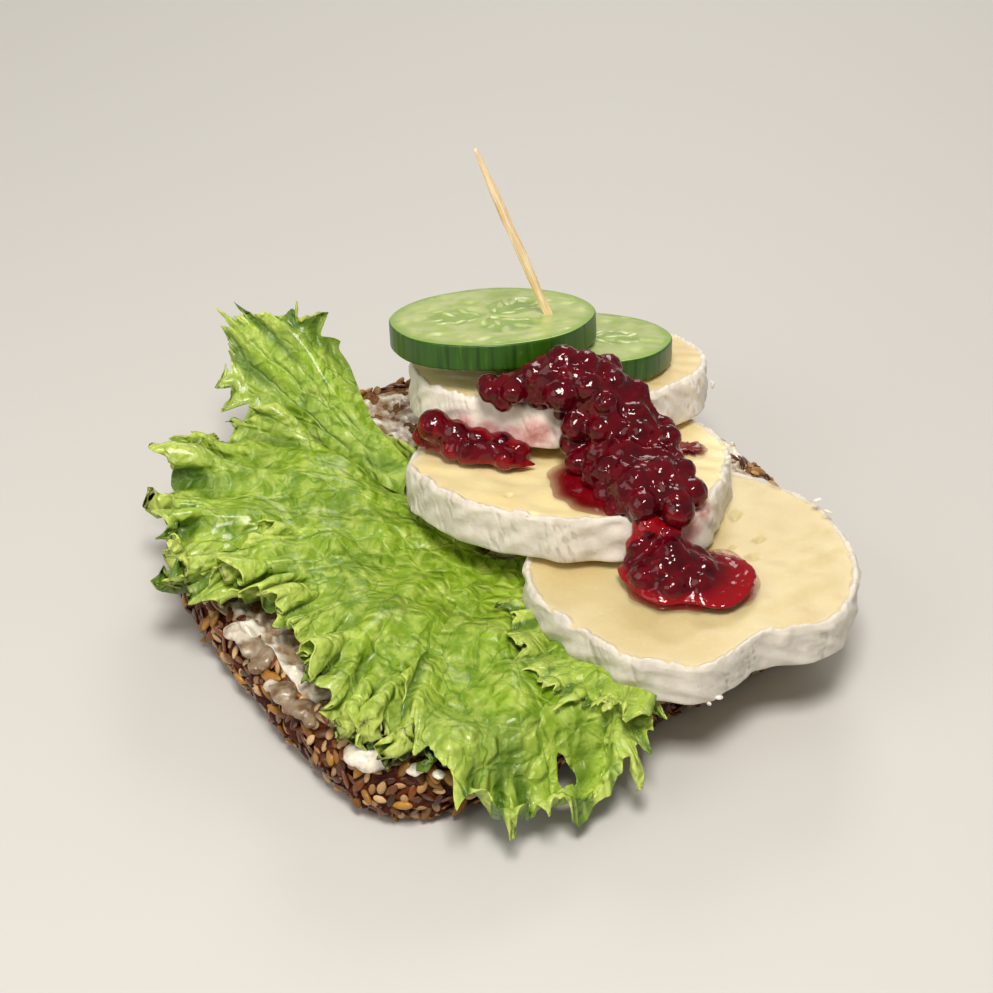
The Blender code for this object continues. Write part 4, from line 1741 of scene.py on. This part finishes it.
@dataclass(frozen=True)
class CurledLeaf(Leaf):
    """A blade that stands up from its root, with one side rolled back and the other curled over.

    Angles are measured from its middle line, growing towards the curled side. Widths give the
    distance along that line, and how far the rolled and the curled side reach there.
    """

    stem: Point = (-14.5, 12.5, 18.9)
    tip: Point = (-61.0, 52.0, 41.0)
    side: Point = (0.1, -0.62, -0.78)
    sag: float = 3.0
    curl: float = 0.05
    roll: float = 0.35
    fringe: float = 5.0
    widths: Table = (
        (0.0, 2.0, 2.0), (14.0, 4.0, 4.5), (26.0, 5.5, 5.5), (36.0, 8.5, 6.0),
        (46.0, 11.5, 9.5), (56.0, 12.0, 12.0), (66.0, 10.0, 9.0),
    )  # fmt: skip

    def laid(self, angle: Array, share: Array, out: Array) -> Array:
        """See Leaf."""
        stem, side = np.array(self.stem), np.array(self.side)
        middle = np.array(self.tip) - stem
        length = np.linalg.norm(middle)
        middle = middle / length
        side = side - middle * (side @ middle)
        side = side / np.linalg.norm(side)
        facing = np.cross(side, middle)
        facing = facing * np.sign(facing @ np.array((0.0, -1.0, 1.0)))
        along = out * np.cos(angle)
        place, back, front = zip(*self.widths)
        turned = np.degrees(angle)
        half = np.where(turned < 0.0, np.interp(along, place, back), np.interp(along, place, front))
        aside = turned / np.where(turned < 0.0, -self.start, self.end)
        onset = np.where(aside < 0.0, 44.0, 40.0)
        teeth = zigzag(0.19 * along + 0.3 * np.sign(aside)) ** 1.3
        fringe = ease(np.abs(aside), 0.7, 1.0) * teeth * ease(along - onset, 0.0, 8.0)
        across = aside * half + np.sign(aside) * self.fringe * fringe
        curled = self.curl * np.maximum(across - 5.0, 0.0) ** 2
        rolled = self.roll * np.maximum(-across - 0.5 * half, 0.0) ** 2
        lift = curled - rolled * (1.0 - ease(along, 0.6 * length, 0.85 * length))
        parts = (along[..., None] * middle, across[..., None] * side, lift[..., None] * facing)
        points = stem + sum(parts)
        points[..., 2] += -self.sag * np.sin(np.pi * np.clip(along / length, 0.0, 1.0))
        return points


LOOSE = Ruffles(
    folds=(16.0, 1.8, 22.0), frills=(7.0, 1.8, 12.0), crimps=(2.6, 0.4, 4.0),
    tooth=(4.8, 5.6, 0.0), overhang=0.4,
)  # fmt: skip
FRILLED = Ruffles(
    folds=(13.0, 1.7, 20.0), frills=(7.2, 2.8, 12.0), crimps=(2.6, 0.5, 4.0),
    tooth=(4.0, 5.4, 0.0), overhang=0.12,
)  # fmt: skip
TIGHT = Ruffles(
    folds=(12.0, 2.4, 24.0), frills=(5.6, 3.2, 15.0), crimps=(2.1, 0.7, 5.0),
    tooth=(2.9, 3.2, 0.0), overhang=0.4,
)  # fmt: skip
SMOOTH = Ruffles(
    folds=(16.0, 1.2, 24.0), frills=(6.0, 0.5, 9.0), crimps=(2.4, 0.22, 3.5),
    tooth=(5.4, 5.6, 0.1), overhang=0.3,
)  # fmt: skip
LOBED = Ruffles(
    folds=(21.0, 0.5, 24.0), frills=(8.0, 0.5, 7.0), crimps=(2.6, 0.15, 3.0),
    tooth=(6.0, 6.0, 0.12), overhang=0.2,
)  # fmt: skip
CRISP = Ruffles(
    folds=(11.0, 0.4, 8.0), frills=(6.5, 0.6, 6.0), crimps=(2.2, 0.15, 2.5),
    tooth=(6.8, 5.6, 0.3), overhang=0.1,
)  # fmt: skip
DRAPED = Ruffles(
    folds=(19.0, 0.6, 20.0), frills=(9.0, 0.7, 9.0), crimps=(2.4, 0.15, 3.0),
    tooth=(6.6, 7.0, 0.1), overhang=0.12,
)  # fmt: skip


@dataclass(frozen=True)
class Lettuce:
    """The leaves, each overlapping the next."""

    leaves: tuple[Leaf, ...] = (
        Leaf(
            "leaf_left",
            "lettuce_upper",
            root=(1.6, 3.4),
            start=127.0,
            end=207.0,
            reaches=(
                (127.0, 36.0), (134.0, 52.0), (143.0, 57.0), (149.0, 58.0), (155.0, 67.0),
                (162.0, 74.0), (166.0, 76.5), (178.0, 76.5), (190.0, 74.0), (200.0, 73.0),
                (207.0, 66.0),
            ),
            lifts=((138.0, 0.2, -9.0), (208.0, 0.16, -3.0)),
            ruffles=(
                (127.0, SMOOTH), (145.0, SMOOTH), (156.0, LOOSE), (164.0, FRILLED),
                (207.0, FRILLED),
            ),
            seed=101,
        ),
        Leaf(
            "leaf_low",
            "lettuce_lower",
            root=(2.0, 2.4),
            start=189.0,
            end=262.0,
            reaches=(
                (189.0, 50.0), (195.0, 66.0), (199.0, 68.0), (203.0, 65.0), (210.0, 59.0),
                (218.0, 59.0), (226.0, 61.0), (234.0, 66.0), (243.0, 74.0), (255.0, 74.0),
                (262.0, 72.0),
            ),
            lifts=((196.0, 0.16, 2.0),),
            ruffles=((189.0, FRILLED), (206.0, TIGHT), (250.0, TIGHT), (262.0, LOOSE)),
            seed=207,
        ),
        Leaf(
            "leaf_front",
            "lettuce_lower",
            root=(2.0, 2.4),
            start=250.0,
            end=303.0,
            reaches=(
                (250.0, 62.0), (256.0, 72.0), (262.0, 78.0), (267.0, 80.0), (273.0, 79.0),
                (280.0, 79.5), (286.0, 75.5), (291.0, 71.0), (297.0, 66.0), (303.0, 54.0),
            ),
            lifts=((272.0, 0.5, 3.4),),
            ruffles=((250.0, LOOSE), (258.0, DRAPED), (303.0, DRAPED)),
            seed=303,
            holes=((14.0, -66.5, 1.9),),
            flare=1.8,
            softness=12,
        ),
        Leaf(
            "leaf_frill",
            "lettuce_frill",
            root=(40.7, -24.1),
            start=174.0,
            end=256.0,
            reaches=(
                (174.0, 33.0), (190.0, 36.0), (202.0, 37.5), (215.0, 40.5), (226.0, 41.0),
                (240.0, 38.0), (256.0, 35.5),
            ),
            lifts=((215.0, 1.2, 1.2),),
            ruffles=((174.0, CRISP), (256.0, CRISP)),
            seed=404,
            inner=0.66,
            columns=360,
            rows=60,
            thickness=0.35,
            flare=1.6,
        ),
        CurledLeaf(
            "leaf_curl",
            "lettuce_upper",
            root=(0.0, 0.0),
            start=-19.0,
            end=21.0,
            reaches=(
                (-19.0, 56.0), (-12.0, 62.0), (0.0, 66.0), (10.0, 66.0), (16.0, 62.0),
                (21.0, 57.0),
            ),
            lifts=(),
            ruffles=((-19.0, LOBED), (21.0, LOBED)),
            seed=505,
            columns=300,
            rows=140,
        ),
    )  # fmt: skip

    def build(self) -> list[bpy.types.Object]:
        """Makes every leaf, then hides the CAD nodes that the leaves replace.

        Returns:
            The pieces.
        """
        pieces = [leaf.build() for leaf in self.leaves]
        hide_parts("lettuce_upper")
        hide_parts("lettuce_lower")
        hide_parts("lettuce_frill")
        return pieces


# ---------------------------------------------------------------- jam and pick


@dataclass(frozen=True)
class Jam:
    """Whole berries held in jelly, over a smaller core of jelly.

    Extra berries hold a place and a radius.
    """

    name: str
    seed: int
    berries: int
    spacing: float
    sizes: tuple[float, float]
    inset: float = 0.3
    thin: float = 0.0
    extra: Table = ()
    depths: Point = (0.75, 0.9, 2.6)
    cover: float = 0.12
    pale: float = 0.25
    tries_each: int = 400

    def spots(self, solid: Solid) -> list[tuple[float, ...]]:
        """Finds places for the berries in the top of the heap.

        Args:
            solid: The heap.

        Returns:
            Middle and radius of each.
        """
        draw = np.random.default_rng(self.seed)
        found: list[tuple[float, ...]] = []
        tries = 0
        while len(found) < self.berries and tries < self.tries_each * self.berries:
            tries += 1
            x = draw.uniform(solid.low.x, solid.high.x)
            y = draw.uniform(solid.low.y, solid.high.y)
            radius = draw.uniform(*self.sizes)
            top, base = solid.top(x, y), solid.base(x, y)
            if top is None or top - base < 1.1 * radius:
                continue
            z = max(top - draw.choice(self.depths) * radius, base + 0.7 * radius)
            beside = [math.dist((x, y, z), other[:3]) for other in found]
            if beside and min(beside) < self.spacing:
                continue
            found.append((x, y, z, radius))
        return found + list(self.extra)

    def build(self) -> list[bpy.types.Object]:
        """Makes the berries and the jelly.

        Returns:
            The two pieces.
        """
        solid = Solid(self.name)
        spots = self.spots(solid)
        return [self.whole_berries(spots), self.jelly(spots, solid)]

    def whole_berries(self, spots: Table) -> bpy.types.Object:
        """Makes the berries, each a little squashed.

        Args:
            spots: Middle and radius of each.

        Returns:
            The piece.
        """
        draw = np.random.default_rng(self.seed + 1)
        template = Bench.ball((0.0, 0.0, 0.0), radius=1.0, cuts=4)
        places = []
        for *middle, radius in spots:
            squash = Vector((1.0, draw.uniform(0.86, 1.0), draw.uniform(0.8, 0.95))) * radius
            places.append(placed(middle, tumble(draw), squash))
        tones = draw.uniform(0.0, 1.0, (len(places), 3))
        tones[:, ::2] = 0.0
        berries = copies(template, f"{self.name}_berries", places, tones, "depth")
        roughen(berries, size=2.0, depth=0.5)
        roughen(berries, size=0.7, depth=0.1)
        return Bench.dress(berries, JamFinish(name=f"{self.name}_berries"), "jam")

    def core(self) -> bpy.types.Object:
        """A copy of the CAD heap, drawn in a little."""
        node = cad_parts[self.name]
        core = node.copy()
        core.data = node.data.copy()
        core.parent = None
        for key in list(core.keys()):
            del core[key]
        bpy.context.scene.collection.objects.link(core)
        if self.inset:
            smaller = core.modifiers.new("smaller", "DISPLACE")
            smaller.mid_level = 0.0
            smaller.strength = -self.inset * MM
            Bench.apply(core)
        return core

    def jelly(self, spots: Table, solid: Solid) -> bpy.types.Object:
        """Makes the jelly between the berries.

        Args:
            spots: Middle and radius of each berry.
            solid: The CAD heap.

        Returns:
            The piece.
        """
        balls = [Bench.ball(middle, radius + self.cover, cuts=2) for *middle, radius in spots]
        whole = Bench.join(f"{self.name}_jelly", [self.core(), *balls])
        wrap(whole, voxel=0.42, passes=9, lumps=((1.8, 0.6),))
        points = np.array([vertex.co for vertex in whole.data.vertices]) / MM
        deep = np.array([z - (solid.base(x, y) or z) for x, y, z in points])
        thin = self.thin * ease(deep, 2.6, 0.8)
        Bench.note(whole, "depth", stack(thin, self.pale, 0.0))
        return Bench.dress(whole, JamFinish(name=f"{self.name}_jelly"), "jam", self.name)


@dataclass(frozen=True)
class Film:
    """Thin red syrup that has run out over a slice, to an edge at a distance in each direction."""

    name: str
    node: str
    centre: tuple[float, float]
    edge: Table
    depth: float = 0.55
    lift: float = 0.12
    sunk: float = 0.3
    columns: int = 160

    def build(self) -> bpy.types.Object:
        """Makes the film, with its rounded edge."""
        angle = full_turn(self.columns)
        reach = smooth(np.interp(np.degrees(angle), *zip(*self.edge), period=360.0), 30)
        reach[-1] = reach[0]
        reach = reach + 0.35 * Ripple(81, 2.2)(4.0 * np.cos(angle), 4.0 * np.sin(angle))
        share = np.r_[np.linspace(0.0, 0.9, 40), 0.93, 0.955, 0.975, 0.99, 1.0][:, None]
        x = self.centre[0] + share * reach * np.cos(angle)
        y = self.centre[1] + share * reach * np.sin(angle)
        floor = smooth_sheet(np.vectorize(Solid(self.node).near_top, [float])(x, y), 2)
        thick = self.depth * np.sqrt(np.clip(1.0 - share**10, 0.0, 1.0))
        thick = thick * (1.0 + 0.16 * Ripple(82, 4.0)(x, y))
        below = stack(x, y, floor - self.sunk)[::-1]
        points = np.concatenate([stack(x, y, floor + self.lift + thick), below])
        faint = 0.75 * ease(np.concatenate([share, share[::-1]]), 0.6, 1.0)
        faint = np.broadcast_to(faint, points.shape[:2])
        notes = {"depth": stack(0.55 + 0.5 * faint, 0.0, faint)}
        piece = Bench.grid(self.name, points, notes, closed=True)
        return Bench.dress(piece, JamFinish(name=self.name), "jam")


@dataclass(frozen=True)
class Pick:
    """A round wooden pick with a tapered point."""

    radius: float = 1.0
    tip_radius: float = 0.3
    taper: float = 11.0
    length: float = 65.0
    lean: float = math.radians(21.0)
    below_top: float = 0.1
    columns: int = 48

    def build(self) -> bpy.types.Object:
        """Makes the pick in its place."""
        angle = full_turn(self.columns)
        along = np.r_[0.0, np.linspace(0.0, self.taper, 14), np.linspace(13.0, self.length, 60)]
        rise = np.interp(along, (0.0, self.taper), (self.tip_radius, self.radius))
        rise[0] = 0.0
        along = np.r_[along, self.length][:, None]
        ragged = 1.0 + 0.05 * Ripple(61, 1.4, waves=16)(along * 0.12, 2.0 * np.cos(angle))
        reach = np.r_[rise, 0.0][:, None] * ragged
        points = stack(reach * np.cos(angle), reach * np.sin(angle), -along)
        lean = np.array(Matrix.Rotation(-self.lean, 3, "Y"))
        low, high = (np.array(corner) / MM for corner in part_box("pick"))
        tip = (low[0] + self.tip_radius, (low[1] + high[1]) / 2, high[2] - self.below_top)
        notes = {"place": stack(along, self.radius * angle, along)}
        piece = Bench.grid("wooden_pick", points @ lean.T + np.array(tip), notes, closed=True)
        return Bench.dress(piece, WoodFinish(), "wood", "pick")


# ---------------------------------------------------------------- studio


@dataclass(frozen=True)
class Lamp:
    """A square soft light: its place and size in metres, and its power in watts."""

    name: str
    place: Point
    size: float
    power: float
    colour: Point = (1.0, 0.95, 0.88)

    def build(self, target: Vector) -> None:
        """Adds the light, facing a target."""
        lamp = bpy.data.lights.new(self.name, "AREA")
        lamp.size = self.size
        lamp.energy = self.power
        lamp.color = self.colour
        made = bpy.data.objects.new(self.name, lamp)
        bpy.context.scene.collection.objects.link(made)
        made.location = self.place
        aim = target - Vector(self.place)
        made.rotation_euler = aim.to_track_quat("-Z", "Y").to_euler()


@dataclass(frozen=True)
class Studio:
    """Pale table, soft lights and the camera, in metres."""

    elevation: float = math.radians(38.0)
    distance: float = 0.52
    target: float = 0.03
    focal_length: float = 85.0
    table: float = 4.0
    sky: str = "f7f2ea"
    sky_strength: float = 0.3
    lamps: tuple[Lamp, ...] = (
        Lamp("key", (0.0, -0.32, 0.76), size=0.22, power=6.0),
        Lamp("fill", (-0.55, -0.35, 0.5), size=0.5, power=1.6),
        Lamp("rim", (0.1, 0.7, 0.5), size=0.3, power=1.8),
    )

    def build(self) -> None:
        """Sets up the whole studio."""
        floor = Bench.primitive("plane", size=self.table)
        floor.name = "floor"
        floor.data.materials.append(FloorFinish().material())
        scene = bpy.context.scene
        world = scene.world or bpy.data.worlds.new("studio")
        scene.world = world
        world.use_nodes = True
        background = world.node_tree.nodes["Background"]
        background.inputs["Color"].default_value = srgb(self.sky)
        background.inputs["Strength"].default_value = self.sky_strength
        for lamp in self.lamps:
            lamp.build(Vector((0.0, 0.0, self.target)))
        lens = bpy.data.cameras.new("camera")
        lens.lens = self.focal_length
        lens.sensor_width = 36.0
        lens.clip_start = 0.01
        camera = bpy.data.objects.new("camera", lens)
        scene.collection.objects.link(camera)
        back = self.distance * math.cos(self.elevation)
        up = self.distance * math.sin(self.elevation)
        camera.location = (0.0, -back, self.target + up)
        camera.rotation_euler = (math.pi / 2 - self.elevation, 0.0, 0.0)
        scene.camera = camera
        scene.view_settings.view_transform = "Standard"


# ---------------------------------------------------------------- the sandwich

CHEESES = (
    Cheese(
        "cheese_front_slice",
        "cheese_front",
        seed=11,
        thickness=10.0,
        bumps=((-57.0, 0.34, -9.2), (68.0, 0.75, 5.0), (178.0, 0.4, 3.5)),
        waves=((1, 2.0, 0.785), (6, 0.4, 1.571)),
        pits=((13.5, 5.5, 1.1), (15.5, 12.0, 0.8), (11.0, 21.0, 1.3), (9.0, 8.5, 0.6)),
        # This slice's own copy of the cheese colours is darker in paste and rind: painted shade.
        finish=CheeseFinish(
            "front_cheese_painted_shade", paste="d3c494", paste_deep="ccb986", paste_pale="dacda8",
            rind="dad4c9", rind_grey_and_crease_shade="a69f90",
        ),
    ),
    Cheese(
        "cheese_middle_slice",
        "cheese_middle",
        seed=12,
        bumps=((-48.0, 0.32, 3.2), (-108.0, 0.25, -2.4)),
        waves=((2, 1.6, -0.349), (6, 0.7, 1.571)),
        stains=((34.0, -24.0, 32.0, 7.0), (40.0, -20.0, 36.0, 6.0), (44.0, -15.0, 38.0, 3.5)),
        pits=((-14.0, -20.0, 0.7),),
        # This slice's own copy of the cheese colours has a brighter, yellower paste as painted
        # light and a darker rind as painted shade.
        finish=CheeseFinish(
            "middle_cheese_painted_light_and_shade", paste="f2e4ae", paste_deep="ecd8a0", paste_pale="f6ecc6",
            rind="dfd8cd", rind_grey_and_crease_shade="aea594",
        ),
    ),
    Cheese(
        "cheese_back_slice",
        "cheese_back",
        seed=13,
        waves=((2, 0.9, 1.071), (5, 0.6, 0.0)),
        stains=(
            (-2.0, 9.0, 40.0, 5.0), (4.0, 8.0, 40.0, 5.0), (-8.0, 11.0, 41.0, 4.5),
            (9.0, 8.0, 42.0, 5.5),
        ),
    ),
)  # fmt: skip

CUCUMBERS = (
    Cucumber("cucumber_lower_slice", "cucumber_lower", radius=20.5, thickness=5.4, seed=4),
    Cucumber("cucumber_upper_slice", "cucumber_upper", radius=23.6, thickness=6.0, seed=2),
)

JAMS = (
    Jam(
        "jam_heap",
        seed=71,
        berries=52,
        spacing=5.3,
        sizes=(2.6, 4.4),
        extra=(
            (-1.6, 11.0, 52.0, 2.9), (1.5, 8.6, 50.0, 2.6), (9.5, 10.5, 49.5, 3.0),
            (14.0, 11.0, 46.5, 3.4), (17.0, 4.0, 42.0, 3.4), (18.0, -0.5, 39.5, 3.1),
            (22.5, -1.0, 43.0, 3.6), (21.5, -6.5, 40.5, 3.3), (24.0, -11.5, 39.6, 3.4),
            (26.0, -16.5, 39.0, 3.2), (10.5, 12.5, 55.5, 3.3), (14.5, 11.5, 58.5, 3.8),
            (19.5, 11.0, 58.0, 3.3), (31.0, -19.0, 41.0, 3.5), (38.5, -20.5, 42.0, 3.7),
        ),
    ),
    Jam(
        "jam_pool",
        seed=72,
        berries=20,
        spacing=4.2,
        sizes=(2.4, 3.4),
        inset=0.0,
        thin=1.0,
        extra=(
            (32.0, -21.5, 38.5, 3.4), (36.5, -22.5, 37.0, 3.2), (30.5, -24.0, 35.0, 3.2),
            (35.5, -25.5, 34.6, 3.5), (39.5, -24.5, 34.0, 3.0),
        ),
    ),
    Jam(
        "jam_side",
        seed=73,
        berries=12,
        spacing=4.2,
        sizes=(2.4, 3.4),
        thin=0.6,
        extra=(
            (-13.8, 10.8, 41.5, 3.9), (-9.0, 9.2, 40.4, 3.4), (-4.0, 8.2, 39.6, 3.0),
            (1.0, 7.4, 38.8, 3.1), (5.0, 6.6, 37.6, 2.7),
        ),
    ),
)  # fmt: skip

FILMS = (
    Film(
        "jam_film_middle",
        "cheese_middle",
        centre=(24.0, -4.5),
        edge=(
            (0.0, 8.0), (147.0, 13.5), (180.0, 12.6), (221.0, 12.6), (250.0, 14.6),
            (281.0, 15.5), (320.0, 9.0),
        ),
    ),
    Film(
        "jam_film_front",
        "cheese_front",
        centre=(41.0, -27.5),
        edge=(
            (0.0, 14.5), (40.0, 12.5), (90.0, 7.0), (140.0, 9.0), (180.0, 14.5),
            (215.0, 14.0), (260.0, 10.8), (300.0, 12.0), (330.0, 14.5),
        ),
    ),
    Film(
        "jam_film_back",
        "cheese_middle",
        centre=(42.5, 11.5),
        edge=((0.0, 4.6), (90.0, 2.4), (180.0, 5.0), (270.0, 2.2)),
    ),
)  # fmt: skip


def main() -> None:
    """Builds the sandwich from the bread up, then the studio."""
    logging.basicConfig(level=logging.INFO, format="%(message)s")
    bread = Bread()
    below = (bread, Seeds(bread), Spread(bread), Lettuce())
    for part in (*below, *CHEESES, Crumbs(), *CUCUMBERS, *JAMS, *FILMS, Pick(), Studio()):
        log.info("%s", type(part).__name__)
        part.build()


if __name__ == "__main__":
    main()
